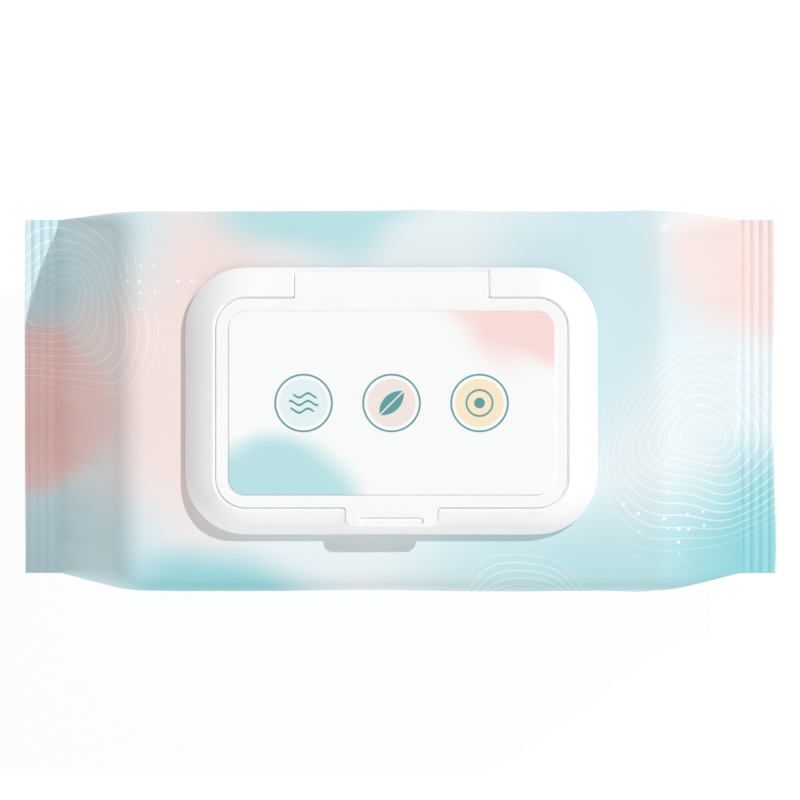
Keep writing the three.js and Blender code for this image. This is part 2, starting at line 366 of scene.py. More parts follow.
@dataclass(frozen=True)
class Relief:
    """A fine bumped texture.

    Args:
        scale, detail: Of its noise.
        distance: How far it stands out, in metres.
        strength: Share of that which shows.
    """

    scale: float
    detail: float
    distance: float
    strength: float

    def normal(self, graph: NodeGraph, place: Input, under: Input = None) -> bpy.types.NodeSocket:
        """The bumped normal at a place, over another where one is given."""
        height = graph.noise(place, self.scale, self.detail)
        return graph.bump(height, self.distance, self.strength, under)


@dataclass(frozen=True)
class SoftField:
    """A soft-edged oval of printed colour, placed on the flat film or label.

    Args:
        x, y: Its middle.
        reach_x, reach_y: Its half sizes.
        edge: Share of its reach over which it fades, each way.
        colour: Its linear colour.
        strength: How much it covers what lies under it.
    """

    x: float
    y: float
    reach_x: float
    reach_y: float
    edge: float
    colour: Colour
    strength: float = 1.0

    def cover(self, graph: NodeGraph, x: Input, y: Input) -> bpy.types.NodeSocket:
        """The share that this field covers at a place.

        Args:
            graph: The material's tree.
            x, y: The place, in millimetres.

        Returns:
            A share from 0 to its strength.
        """
        across = graph.math("MULTIPLY_ADD", x, 1 / self.reach_x, -self.x / self.reach_x)
        up = graph.math("MULTIPLY_ADD", y, 1 / self.reach_y, -self.y / self.reach_y)
        reach = distance(graph, across, up)
        return graph.math("MULTIPLY", graph.ramp(reach, 1 + self.edge, 1 - self.edge), self.strength)


def distance(graph: NodeGraph, x: Input, y: Input) -> bpy.types.NodeSocket:
    """How far a place lies from the origin."""
    square = graph.math("MULTIPLY_ADD", x, x, graph.math("MULTIPLY", y, y))
    return graph.math("SQRT", square)


@dataclass(frozen=True)
class Ripples:
    """Fine white rings that spread from a point on the film and fade.

    Args:
        x, y: The rings' middle.
        first, last: The smallest and the largest ring's radius.
        pitch: From one ring to the next.
        width: A ring's own width.
    """

    x: float
    y: float
    first: float
    last: float
    pitch: float = 2.3
    width: float = 0.26

    def cover(self, graph: NodeGraph, x: Input, y: Input) -> bpy.types.NodeSocket:
        """The share that the rings cover at a place, in millimetres."""
        reach = distance(graph, graph.math("SUBTRACT", x, self.x), graph.math("SUBTRACT", y, self.y))
        rings = graph.ramp(graph.math("PINGPONG", reach, self.pitch / 2), self.width, self.width / 3)
        start = graph.ramp(reach, self.first - self.pitch, self.first)
        end = graph.ramp(reach, self.last, (self.first + self.last) / 2)
        return graph.math("MULTIPLY", rings, graph.math("MULTIPLY", start, end))


class Ink(Enum):
    """Printed colours, as linear values."""

    PAPER = linear(231, 240, 243)
    WHITE = linear(250, 252, 252)
    BLUSH = linear(244, 226, 223)
    ROSE = linear(249, 211, 206)
    MIST = linear(208, 233, 239)
    AQUA = linear(170, 221, 226)
    LAGOON = linear(143, 212, 218)
    TEAL = linear(88, 156, 160)
    SAND = linear(235, 207, 196)
    HONEY = linear(247, 214, 126)


@dataclass(frozen=True)
class PrintedFilm:
    """Satin laminate film, printed with soft fields of colour, ripples and specks.

    Args:
        length, girth: The flat film's two sizes, which its map runs over.
        roughness: Of the satin face.
        drift: How far the fields' edges wander.
    """

    length: float
    girth: float
    roughness: float = 0.44
    drift: float = 26.0

    FIELDS = (
        SoftField(-58, 14, 30, 46, 0.5, Ink.BLUSH.value),
        SoftField(-100, -2, 22, 23, 0.2, Ink.ROSE.value),
        SoftField(-96, 44, 34, 24, 0.4, Ink.MIST.value),
        SoftField(-92, -44, 26, 20, 0.4, Ink.MIST.value),
        SoftField(-24, 52, 27, 15, 0.32, Ink.AQUA.value, 0.8),
        SoftField(-48, -50, 24, 13, 0.34, Ink.LAGOON.value, 0.9),
        SoftField(50, 26, 22, 34, 0.55, Ink.MIST.value),
        SoftField(58, -48, 46, 20, 0.6, Ink.AQUA.value, 0.75),
        SoftField(92, 36, 24, 19, 0.4, Ink.BLUSH.value),
        SoftField(100, -44, 24, 26, 0.45, Ink.LAGOON.value, 0.85),
        SoftField(10, 84, 40, 16, 0.6, Ink.BLUSH.value, 0.8),
        SoftField(-40, -86, 46, 18, 0.6, Ink.MIST.value),
        SoftField(40, -88, 40, 15, 0.6, Ink.BLUSH.value, 0.8),
        SoftField(-52, 132, 44, 20, 0.5, Ink.MIST.value),
        SoftField(56, 140, 40, 18, 0.5, Ink.BLUSH.value, 0.8),
        SoftField(-30, -136, 40, 16, 0.5, Ink.BLUSH.value, 0.8),
        SoftField(60, -130, 38, 20, 0.5, Ink.AQUA.value, 0.6),
    )
    RIPPLES = (
        Ripples(-90, 24, 6, 34),
        Ripples(84, -12, 5, 36),
        Ripples(34, -58, 8, 22),
    )
    SPECKS = (
        SoftField(-63, 31, 9, 11, 0.12, Ink.WHITE.value),
        SoftField(68, -32, 13, 9, 0.12, Ink.WHITE.value),
    )
    CREASE = Relief(0.9, 4, 8e-5, 0.3)
    GRAIN = Relief(9, 2, 1.5e-5, 0.25)
    GLOSS_SCALE = 0.25
    GLOSS_SPREAD = 0.1
    DRIFT_SCALE = 0.022
    RIPPLE_STRENGTH = 0.55
    DOT_SCALE = 0.29
    DOT_SCATTER = 0.45
    DOT_EDGE = (0.17, 0.12)

    def material(self) -> bpy.types.Material:
        """Makes the film's material."""
        graph = NodeGraph("printed_film")
        place = graph.node("ShaderNodeMapping", {"vector_type": "POINT"},
                           Vector=graph.node("ShaderNodeUVMap", {"uv_map": FILM_MAP}).outputs[0],
                           Scale=(self.length, self.girth, 1),
                           Location=(-self.length / 2, -self.girth / 2, 0)).outputs[0]
        normal = self.GRAIN.normal(graph, place, self.CREASE.normal(graph, place))
        roughness = graph.waver(place, self.GLOSS_SCALE, self.roughness, self.GLOSS_SPREAD)
        return graph.finish(Base_Color=self.print(graph, place), Roughness=roughness, Normal=normal,
                            Specular_IOR_Level=0.3)

    def print(self, graph: NodeGraph, place: bpy.types.NodeSocket) -> bpy.types.NodeSocket:
        """Lays the printed colours over each other.

        Args:
            graph: The material's tree.
            place: The place on the flat film, in millimetres.

        Returns:
            The colour at that place.
        """
        x, y, _ = graph.split(place)
        wander = graph.node("ShaderNodeTexNoise", Vector=place, Scale=self.DRIFT_SCALE, Detail=1.0)
        shift_x, shift_y, _ = graph.split(wander.outputs["Color"])
        soft_x = graph.math("ADD", x, graph.math("MULTIPLY_ADD", shift_x, self.drift, -self.drift / 2))
        soft_y = graph.math("ADD", y, graph.math("MULTIPLY_ADD", shift_y, self.drift, -self.drift / 2))
        colour: Input = Ink.PAPER.value
        for field in self.FIELDS:
            colour = graph.mix(field.cover(graph, soft_x, soft_y), colour, field.colour)
        lines: Input = 0.0
        for ripples in self.RIPPLES:
            lines = graph.math("MAXIMUM", lines, ripples.cover(graph, soft_x, soft_y))
        colour = graph.mix(graph.math("MULTIPLY", lines, self.RIPPLE_STRENGTH), colour, Ink.WHITE.value)
        cells = graph.node("ShaderNodeTexVoronoi", Vector=place, Scale=self.DOT_SCALE,
                           Randomness=self.DOT_SCATTER)
        dots = graph.ramp(cells.outputs["Distance"], *self.DOT_EDGE)
        for patch in self.SPECKS:
            share = graph.math("MULTIPLY", patch.cover(graph, x, y), dots)
            colour = graph.mix(share, colour, patch.colour)
        return colour


@dataclass(frozen=True)
class MouldedPlastic:
    """Satin white polypropylene with a fine spark-eroded texture and slight flow marks.

    Args:
        colour_low, colour_high: Its whites, between the flow marks and in them.
        roughness: Of its face.
        scatter: How far light runs under its face, in metres.
    """

    colour_low: Colour = linear(250, 250, 250)
    colour_high: Colour = linear(253, 253, 253)
    roughness: float = 0.36
    scatter: float = 0.002

    TEXTURE = Relief(2600, 2, 6e-6, 0.35)
    FLOW_SCALE = 45
    FLOW_DETAIL = 3
    GLOSS_SPREAD = 0.12

    def material(self) -> bpy.types.Material:
        """Makes the moulding's material."""
        graph = NodeGraph("moulded_plastic")
        place = graph.node("ShaderNodeTexCoord").outputs["Object"]
        flow = graph.noise(place, self.FLOW_SCALE, self.FLOW_DETAIL)
        colour = graph.mix(flow, self.colour_low, self.colour_high)
        lowest = self.roughness - self.GLOSS_SPREAD / 2
        roughness = graph.math("MULTIPLY_ADD", flow, self.GLOSS_SPREAD, lowest)
        normal = self.TEXTURE.normal(graph, place)
        return graph.finish(Base_Color=colour, Roughness=roughness, Normal=normal,
                            Specular_IOR_Level=0.45, Subsurface_Weight=0.08,
                            Subsurface_Radius=(self.scatter, self.scatter, self.scatter))


@dataclass(frozen=True)
class LabelPrint:
    """White film label with two soft corner fields and a row of three round badges.

    Args:
        centre_x, centre_y: The label's middle in the frame.
        badge_pitch: From one badge to the next.
        badge_radius: Of each badge's ring.
        line: Width of a drawn line.
        roughness: Of the label's face.
    """

    centre_x: float
    centre_y: float
    badge_pitch: float = 23.0
    badge_radius: float = 7.4
    line: float = 0.5
    roughness: float = 0.33

    FIELDS = (
        SoftField(-34, -25, 24, 15, 0.25, Ink.AQUA.value, 0.85),
        SoftField(38, 25, 20, 15, 0.28, Ink.ROSE.value, 0.8),
    )
    TINTS = (Ink.MIST, Ink.SAND, Ink.HONEY)
    BASE = linear(251, 252, 252)
    SURFACE = Relief(2.2, 3, 8e-6, 0.2)
    GLOSS_SCALE = 0.4
    GLOSS_SPREAD = 0.08
    WANDER_SCALE = 0.06
    WANDER_SPREAD = 14.0
    EDGE_BLUR = 0.07
    DISC_MARGIN = 1.1
    DISC_STRENGTH = 0.5
    WAVE_TURN = 1.35  # radians in each millimetre
    WAVE_HEIGHT = 0.55
    WAVE_PITCH = 2.0
    WAVE_LINE = 0.6
    WAVES_REACH = 3.1
    WAVES_SQUASH = 0.8
    LEAF_RADIUS = 5.6
    LEAF_OFFSET = 3.4
    LEAF_RIB = 0.4
    RING_RADIUS = 3.4
    DOT_RADIUS = 1.4

    def material(self) -> bpy.types.Material:
        """Makes the label's material."""
        graph = NodeGraph("label_film")
        place = graph.object_place(self.centre_x, self.centre_y)
        x, y, _ = graph.split(place)
        wander = graph.waver(place, self.WANDER_SCALE, 0, self.WANDER_SPREAD, 1)
        soft_x = graph.math("ADD", x, wander)
        soft_y = graph.math("SUBTRACT", y, wander)
        colour: Input = self.BASE
        for field in self.FIELDS:
            colour = graph.mix(field.cover(graph, soft_x, soft_y), colour, field.colour)
        for number, (tint, motif) in enumerate(zip(self.TINTS, (self.waves, self.leaf, self.rings))):
            across = graph.math("SUBTRACT", x, (number - 1) * self.badge_pitch)
            rim = graph.math("SUBTRACT", distance(graph, across, y), self.badge_radius)
            disc = self.edge(graph, graph.math("ADD", rim, self.DISC_MARGIN))
            colour = graph.mix(graph.math("MULTIPLY", disc, self.DISC_STRENGTH), colour, tint.value)
            colour = graph.mix(self.stroke(graph, rim), colour, Ink.TEAL.value)
            colour = graph.mix(motif(graph, across, y), colour, Ink.TEAL.value)
        roughness = graph.waver(place, self.GLOSS_SCALE, self.roughness, self.GLOSS_SPREAD)
        normal = self.SURFACE.normal(graph, place)
        return graph.finish(Base_Color=colour, Roughness=roughness, Normal=normal, Specular_IOR_Level=0.45)

    def edge(self, graph: NodeGraph, outside: Input) -> bpy.types.NodeSocket:
        """Turns a distance outside a shape into the share that the shape covers."""
        return graph.ramp(outside, self.EDGE_BLUR, -self.EDGE_BLUR)

    def stroke(self, graph: NodeGraph, outside: Input) -> bpy.types.NodeSocket:
        """A line along a shape's edge."""
        return self.edge(graph, graph.math("SUBTRACT", graph.math("ABSOLUTE", outside), self.line / 2))

    def waves(self, graph: NodeGraph, x: Input, y: Input) -> bpy.types.NodeSocket:
        """Three wavy lines."""
        wave = graph.math("SINE", graph.math("MULTIPLY", x, self.WAVE_TURN))
        swing = graph.math("MULTIPLY_ADD", wave, -self.WAVE_HEIGHT, y)
        off_line = graph.math("PINGPONG", swing, self.WAVE_PITCH / 2)
        line = graph.math("SUBTRACT", off_line, self.WAVE_LINE / 2)
        squashed = graph.math("MULTIPLY", x, self.WAVES_SQUASH)
        beyond = graph.math("SUBTRACT", distance(graph, squashed, y), self.WAVES_REACH)
        return self.edge(graph, graph.math("MAXIMUM", line, beyond))

    def leaf(self, graph: NodeGraph, x: Input, y: Input) -> bpy.types.NodeSocket:
        """A slanting leaf where two circles overlap, with a bare midrib."""
        along = graph.math("MULTIPLY", graph.math("ADD", x, y), math.sqrt(0.5))
        across = graph.math("MULTIPLY", graph.math("SUBTRACT", y, x), math.sqrt(0.5))
        off = graph.math("ABSOLUTE", across)
        reach = distance(graph, along, graph.math("ADD", off, self.LEAF_OFFSET))
        outside = graph.math("SUBTRACT", reach, self.LEAF_RADIUS)
        rib = graph.math("SUBTRACT", self.LEAF_RIB / 2, off)
        return self.edge(graph, graph.math("MAXIMUM", outside, rib))

    def rings(self, graph: NodeGraph, x: Input, y: Input) -> bpy.types.NodeSocket:
        """A ring round a dot."""
        reach = distance(graph, x, y)
        ring = self.stroke(graph, graph.math("SUBTRACT", reach, self.RING_RADIUS))
        dot = self.edge(graph, graph.math("SUBTRACT", reach, self.DOT_RADIUS))
        return graph.math("MAXIMUM", ring, dot)


@dataclass(frozen=True)
class FoamTape:
    """Pale double-sided tape with an open foam edge, with painted shade in each cell's pit."""

    CELL_SCALE = 3200
    CELL_DEPTH = 4e-5  # metres
    CELL_STRENGTH = 0.4
    # Painted shade: the foam's colour darkened where each cell's pit sinks deepest, not a colour of its
    # own.
    PIT_SHADE = linear(214, 212, 204)
    WALL = linear(236, 234, 226)

    def material(self) -> bpy.types.Material:
        """Makes the tape's material."""
        graph = NodeGraph("adhesive_tape")
        place = graph.node("ShaderNodeTexCoord").outputs["Object"]
        cells = graph.node("ShaderNodeTexVoronoi", Vector=place, Scale=self.CELL_SCALE).outputs["Distance"]
        normal = graph.bump(cells, self.CELL_DEPTH, self.CELL_STRENGTH)
        # Painted shade, darkest in each cell's pit where the bump is lowest.
        colour = graph.mix(cells, self.PIT_SHADE, self.WALL)
        return graph.finish(Base_Color=colour, Roughness=0.6, Normal=normal)


@dataclass(frozen=True)
class SealFilm:
    """Glossy peel-off film, pale aqua with a white pull tab and a ripple of fine rings.

    Args:
        centre_x: The seal's middle along X in the frame.
        tab_start: Where the pull tab begins, from the middle.
        roughness: Of the film's face.
    """

    centre_x: float
    tab_start: float
    roughness: float = 0.25

    PUCKER = Relief(0.35, 3, 1.2e-4, 0.35)
    RINGS = Ripples(0, 0, 6, 34, 3.0, 0.3)
    RING_STRENGTH = 0.6
    TINT_SCALE = 0.05
    TINT_EDGE = (0.3, 0.7)
    TAB_BLUR = 0.4
    GLOSS_SCALE = 0.6
    GLOSS_SPREAD = 0.1

    def material(self) -> bpy.types.Material:
        """Makes the seal's material."""
        graph = NodeGraph("seal_film")
        place = graph.object_place(self.centre_x, 0)
        x, y, _ = graph.split(place)
        tint = graph.ramp(graph.noise(place, self.TINT_SCALE, 1), *self.TINT_EDGE)
        colour = graph.mix(tint, Ink.MIST.value, Ink.AQUA.value)
        rings = graph.math("MULTIPLY", self.RINGS.cover(graph, x, y), self.RING_STRENGTH)
        colour = graph.mix(rings, colour, Ink.WHITE.value)
        tab = graph.ramp(x, self.tab_start, self.tab_start + self.TAB_BLUR)
        colour = graph.mix(tab, colour, Ink.WHITE.value)
        roughness = graph.waver(place, self.GLOSS_SCALE, self.roughness, self.GLOSS_SPREAD)
        normal = self.PUCKER.normal(graph, place)
        return graph.finish(Base_Color=colour, Roughness=roughness, Normal=normal)


class CrimpTree:
    """A Geometry Nodes tree that presses sharp grooves, with round ridges, across a strip of film."""

    GROOVE_INPUTS = ("Pitch", "Depth", "First", "Start", "Feather")

    def __init__(self) -> None:
        """Makes the tree."""
        self.tree = bpy.data.node_groups.new("crimp", "GeometryNodeTree")
        face = self.tree.interface
        face.new_socket("Geometry", in_out="INPUT", socket_type="NodeSocketGeometry")
        self.identifiers = {
            name: face.new_socket(name, in_out="INPUT", socket_type="NodeSocketFloat").identifier
            for name in self.GROOVE_INPUTS
        }
        self.identifiers["Finish"] = face.new_socket(
            "Finish", in_out="INPUT", socket_type="NodeSocketMaterial").identifier
        face.new_socket("Geometry", in_out="OUTPUT", socket_type="NodeSocketGeometry")
        self.wire()

    def add(self, kind: str, *values: Input, **settings: Any) -> bpy.types.Node:
        """Adds a node and feeds its inputs in order, with None to leave one alone."""
        made = self.tree.nodes.new(kind)
        for key, value in settings.items():
            setattr(made, key, value)
        for socket, value in zip(made.inputs, values):
            if isinstance(value, bpy.types.NodeSocket):
                self.tree.links.new(value, socket)
            elif value is not None:
                socket.default_value = value
        return made

    def math(self, operation: str, *values: Input) -> bpy.types.NodeSocket:
        """Adds a math node and returns its result."""
        return self.add("ShaderNodeMath", *values, operation=operation).outputs[0]

    def ramp(self, value: Input, low: Input, high: Input) -> bpy.types.NodeSocket:
        """A smooth step of a value, from 0 at low to 1 at high."""
        made = self.add("ShaderNodeMapRange", value, low, high, interpolation_type="SMOOTHSTEP")
        return made.outputs["Result"]

    def wire(self) -> None:
        """Joins the nodes: how far along the pack a point lies says how deep it is pressed."""
        given = self.add("NodeGroupInput").outputs
        where = self.add("GeometryNodeInputPosition").outputs[0]
        place = self.add("ShaderNodeSeparateXYZ", where).outputs
        along = self.math("ABSOLUTE", place["X"])
        phase = self.math("SUBTRACT", along, given["First"])
        turns = self.math("MULTIPLY", self.math("DIVIDE", phase, given["Pitch"]), math.pi)
        crest = self.math("ABSOLUTE", self.math("SINE", turns))
        groove = self.math("SUBTRACT", 1.0, crest)
        full = self.math("ADD", given["Start"], given["Feather"])
        pressed = self.math("MULTIPLY", groove, self.ramp(along, given["Start"], full))
        fall = self.math("MULTIPLY", pressed, self.math("MULTIPLY", given["Depth"], -1.0))
        shift = self.add("ShaderNodeCombineXYZ", 0.0, 0.0, fall).outputs[0]
        moved = self.add("GeometryNodeSetPosition", given["Geometry"], None, None, shift).outputs[0]
        whole = self.add("GeometryNodeRealizeInstances", moved).outputs[0]
        dressed = self.add("GeometryNodeSetMaterial", whole, None, given["Finish"]).outputs[0]
        self.add("NodeGroupOutput", dressed)

    def press(self, piece: bpy.types.Object, finish: bpy.types.Material, **sizes: float) -> None:
        """Crimps a piece and keeps the result as its mesh.

        Args:
            piece: The film to crimp.
            finish: Its material.
            sizes: A value in millimetres for each of the tree's sizes, in lower case.
        """
        modifier = piece.modifiers.new("crimp", "NODES")
        modifier.node_group = self.tree
        for name in self.GROOVE_INPUTS:
            modifier[self.identifiers[name]] = sizes[name.lower()] * MM
        modifier[self.identifiers["Finish"]] = finish
        bpy.context.view_layer.update()
        graph = bpy.context.evaluated_depsgraph_get()
        made = bpy.data.meshes.new_from_object(piece.evaluated_get(graph), depsgraph=graph)
        piece.modifiers.remove(modifier)
        flat, piece.data = piece.data, made
        made.name = piece.name
        bpy.data.meshes.remove(flat)


def smooth(value: np.ndarray, low: float, high: float) -> np.ndarray:
    """A smooth step from 0 at low to 1 at high, which may be the smaller."""
    share = np.clip((value - low) / (high - low), 0, 1)
    return share * share * (3 - 2 * share)


@dataclass
class FilmPouch:
    """The film round the stack: one web with tucked sides, sloping ends, crimped seals and a back seal.

    Args:
        length, width, height: Sizes over everything.
        edge_radius: Of the body's long edges.
        shoulder: Length of each sloping end.
        seal_length, seal_width, seal_level: Of each end seal.
        seal_shift: How far the end seals lie off the middle.
        film: Thickness of the pressed layers.
        lift: The underside's height over the back seal's.
        ease_body, ease_seal: Lengths over which the slope bends in and out.
        bulge: How far the slope is rounded outwards, where 1 leaves it straight.
        back_seal_width: Of the strip along the underside.
        crimp_pitch, crimp_depth, crimp_first: Of the end seals' grooves, the first from the middle.
        crimp_lead, crimp_feather: How far before the first groove the pressing begins, and its fade.
        rib_pitch, rib_depth: Of the back seal's fine ribs, which stand upwards.
        seed: For the creases.
    """

    length: float = 200.0
    width: float = 100.0
    height: float = 56.0
    edge_radius: float = 6.5
    shoulder: float = 19.5
    seal_length: float = 9.5
    seal_width: float = 94.5
    seal_level: float = 20.0
    seal_shift: float = 1.2
    film: float = 0.36
    lift: float = 0.45
    ease_body: float = 10.0
    ease_seal: float = 1.4
    bulge: float = 1.25
    back_seal_width: float = 11.0
    crimp_pitch: float = 2.41
    crimp_depth: float = 0.48
    crimp_first: float = 91.38
    crimp_lead: float = 0.65
    crimp_feather: float = 0.5
    rib_pitch: float = 1.7
    rib_depth: float = -0.05
    seed: int = 11

    FLAT_STEPS = 44
    ARC_STEPS = 9
    WALL_STEPS = 24
    BODY_STATIONS = 130
    SHOULDER_STATIONS = 34
    SEAL_STATIONS = 46
    SLOPE_CROWDING = 1.35
    SEAL_EDGE_RADIUS = 0.8
    EDGE_SHARE = 0.42

    # Creases: a pair is the range that a random draw is taken from.
    CREASE_START = 0.5
    CREASE_ROUND = 0.05
    CREASE_FADE = 0.25
    CREASE_LEAD = 0.08
    END_CREASES = 13
    END_SPAN = 0.92
    END_JITTER = (-0.06, 0.06)
    END_REACH = (0.45, 1.15)
    END_FAN = (-2, 7)
    END_DRIFT = (-4, 4)
    END_HEIGHT = (0.14, 0.42)
    END_WIDTH = (0.7, 1.7)
    END_LEAD = 0.6
    WALL_CREASES = 7
    WALL_START = (-62, 62)
    WALL_RISE = (-0.9, 0.9)
    WALL_RUN = (25, 60)
    WALL_LEAN = (-0.15, 0.15)
    WALL_HEIGHT = (0.3, 0.85)
    WALL_WIDTH = (1.0, 2.0)
    WALL_LEAD = 2.0
    WALL_MARGIN = 1.0
    TUCK_LEANS = (-0.8, -0.25, 0.3, 0.85)
    TUCK_SPREAD = 6.0
    TUCK_RUN = (16, 34)
    TUCK_HEIGHT = (0.35, 0.8)
    TUCK_WIDTH = (0.9, 1.7)
    SWELLS = 7
    SWELL_TURN = (0.03, 0.11)  # radians in each millimetre
    SWELL_PHASE = (0, 6.3)
    SWELL_HEIGHT = 0.035

    # Where creases fade out, and over what length.
    EASE = 6.0
    FACE_REACH = 45.0  # from the middle of the top or of the underside
    BACK_CLEAR = (6.0, 10.0)  # beside the back seal
    LID_CENTRE = -2.0
    LID_CLEAR = (56.0, 37.0)  # half sizes of the flat film round the lid
    FLOOR_RISE = 0.3  # most that a crease stands out beside the flat underside

    # Back seal: each side's bevel is its width and its height's share of the thickness.
    BACK_SUNK = 0.04
    BACK_STEPS = 14
    BACK_LEFT = (0.25, 0.55)
    BACK_RIGHT = (0.15, 0.7)

    # End seals: each wave's height, run and count of turns, and the shapes of the cut edges.
    SEAL_LEAD = 4.0
    SEAL_TURNS = (0.6, 2.3)
    SEAL_WAVES = ((0.55, 13.0, 1), (0.3, 5.7, 2))
    CUT_REACH = 0.3
    CUT_BAY = (0.67, 2.0, 14.0)  # depth, middle and half width
    CUT_LOBE = (0.5, -38.0, 12.0)  # height, middle and half width
    CUT_WAVE = (0.08, 21.0, 7.0)  # height, run and phase

    @property
    def seal_start(self) -> float:
        """Where the end seals begin, along X."""
        return self.length / 2 - self.seal_length

    @property
    def body_end(self) -> float:
        """Where the sloping ends begin, along X."""
        return self.seal_start - self.shoulder

    @property
    def half_girth(self) -> float:
        """The film's length from the back seal up to the middle of the top."""
        flats = 2 * (self.width / 2 - self.edge_radius)
        wall = self.height - self.lift - 2 * self.edge_radius
        return flats + wall + math.pi * self.edge_radius

    def closing(self, along: float) -> float:
        """How far the film has closed from the body, 0, to the seal, 1, with a bend at each end."""
        reach = along - self.body_end + self.ease_body / 2
        left = self.seal_start + self.ease_seal / 2 - along
        if reach <= 0:
            return 0.0
        if left <= 0:
            return 1.0
        if reach < self.ease_body:
            fallen = reach * reach / (2 * self.ease_body)
        elif left < self.ease_seal:
            fallen = self.shoulder - left * left / (2 * self.ease_seal)
        else:
            fallen = reach - self.ease_body / 2
        return fallen / self.shoulder

    def section(self, along: float) -> np.ndarray:
        """The film's outline at a distance from the middle.

        Args:
            along: The distance along X, either way.

        Returns:
            Points of Y and Z from the underside's middle, round by +Y and -Y, and back.
        """
        near = self.closing(along)
        shut = near ** self.bulge
        half = self.width / 2 + (self.seal_width - self.width) / 2 * near
        top = self.height + (self.seal_level + self.film / 2 - self.height) * shut
        bottom = self.lift + (self.seal_level - self.film / 2 - self.lift) * shut
        radius = self.edge_radius * (1 - shut) + self.SEAL_EDGE_RADIUS * shut
        radius = min(radius, (top - bottom) * self.EDGE_SHARE)
        wall = (top - bottom) / 2 - radius
        arm = (self.half_girth - 2 * (half - radius) - math.pi * radius) / 2
        tuck = math.sqrt(max(arm * arm - wall * wall, 0.0))
        flat = np.linspace(0, half - radius, self.FLAT_STEPS, endpoint=False)
        angle = np.linspace(0, math.pi / 2, self.ARC_STEPS, endpoint=False)
        fall = np.linspace(0, 1, self.WALL_STEPS + 1)
        y = np.concatenate([flat, half - radius + radius * np.sin(angle), half - tuck * fall])
        rise = np.concatenate([0 * flat, radius - radius * np.cos(angle), radius + wall * fall])
        right_y = np.concatenate([y, y[-2::-1]])
        right_z = np.concatenate([bottom + rise, (top - rise)[-2::-1]])
        shift = self.seal_shift * near
        return np.concatenate([
            np.stack([right_y + shift, right_z], axis=1),
            np.stack([shift - right_y[-2::-1], right_z[-2::-1]], axis=1),
        ])

    def grooves(self) -> dict[str, float]:
        """The end seals' crimp, as the crimp tree takes it."""
        return {"pitch": self.crimp_pitch, "depth": self.crimp_depth, "first": self.crimp_first,
                "start": self.crimp_first - self.crimp_lead, "feather": self.crimp_feather}

    def ribs(self) -> dict[str, float]:
        """The back seal's ribs along its whole length, as the crimp tree takes them."""
        return {"pitch": self.rib_pitch, "depth": self.rib_depth, "first": 0.0,
                "start": 0.0, "feather": 1.0}

    def stations(self) -> np.ndarray:
        """Places along X where the film is cut, closest together where it folds."""
        body = np.linspace(0, self.body_end - self.ease_body / 2, self.BODY_STATIONS // 2 + 1)
        share = np.linspace(0, 1, self.SHOULDER_STATIONS + 1)[1:]
        pressed = self.crimp_first - self.crimp_pitch / 2
        slope = body[-1] + (pressed - body[-1]) * share ** self.SLOPE_CROWDING
        seal = np.linspace(pressed, self.length / 2, self.SEAL_STATIONS + 1)[1:]
        right = np.concatenate([body, slope, seal])
        return np.concatenate([-right[:0:-1], right])

    def crease(self, x: np.ndarray, y: np.ndarray, start: Point2, end: Point2, height: float,
               width: float) -> np.ndarray:
        """A fold line that is sharpest near its start, and widens and dies out towards its end.

        Args:
            x, y: Each point's place on the flat film.
            start, end: The line's two ends.
            height: How far it stands out, where a negative number sinks it in.
            width: How far off the line it reaches.

        Returns:
            How far each point stands out.
        """
        run_x, run_y = end[0] - start[0], end[1] - start[1]
        length = math.hypot(run_x, run_y)
        along = ((x - start[0]) * run_x + (y - start[1]) * run_y) / length ** 2
        off = ((x - start[0]) * run_y - (y - start[1]) * run_x) / length
        spread = off / (width * (self.CREASE_START + np.clip(along, 0, 1)))
        ridge = np.exp(-np.sqrt(spread * spread + self.CREASE_ROUND))
        fade = smooth(along, 1.0, self.CREASE_FADE) * smooth(along, -self.CREASE_LEAD, self.CREASE_LEAD)
        return height * ridge * fade

    def end_creases(self, rng: np.random.Generator, x: np.ndarray, y: np.ndarray, end: int) -> np.ndarray:
        """Creases that run from one end seal up a sloping face."""
        proud = np.zeros_like(x)
        for base in np.linspace(-self.END_SPAN, self.END_SPAN, self.END_CREASES):
            foot = self.seal_shift + (base + rng.uniform(*self.END_JITTER)) * self.seal_width / 2
            reach = rng.uniform(*self.END_REACH) * self.shoulder
            drift = base * rng.uniform(*self.END_FAN) + rng.uniform(*self.END_DRIFT)
            height = rng.uniform(*self.END_HEIGHT) * rng.choice((-1, 1))
            start = (end * (self.seal_start + self.END_LEAD), foot)
            stop = (end * (self.seal_start - reach), foot + drift)
            proud += self.crease(x, y, start, stop, height, rng.uniform(*self.END_WIDTH))
        return proud

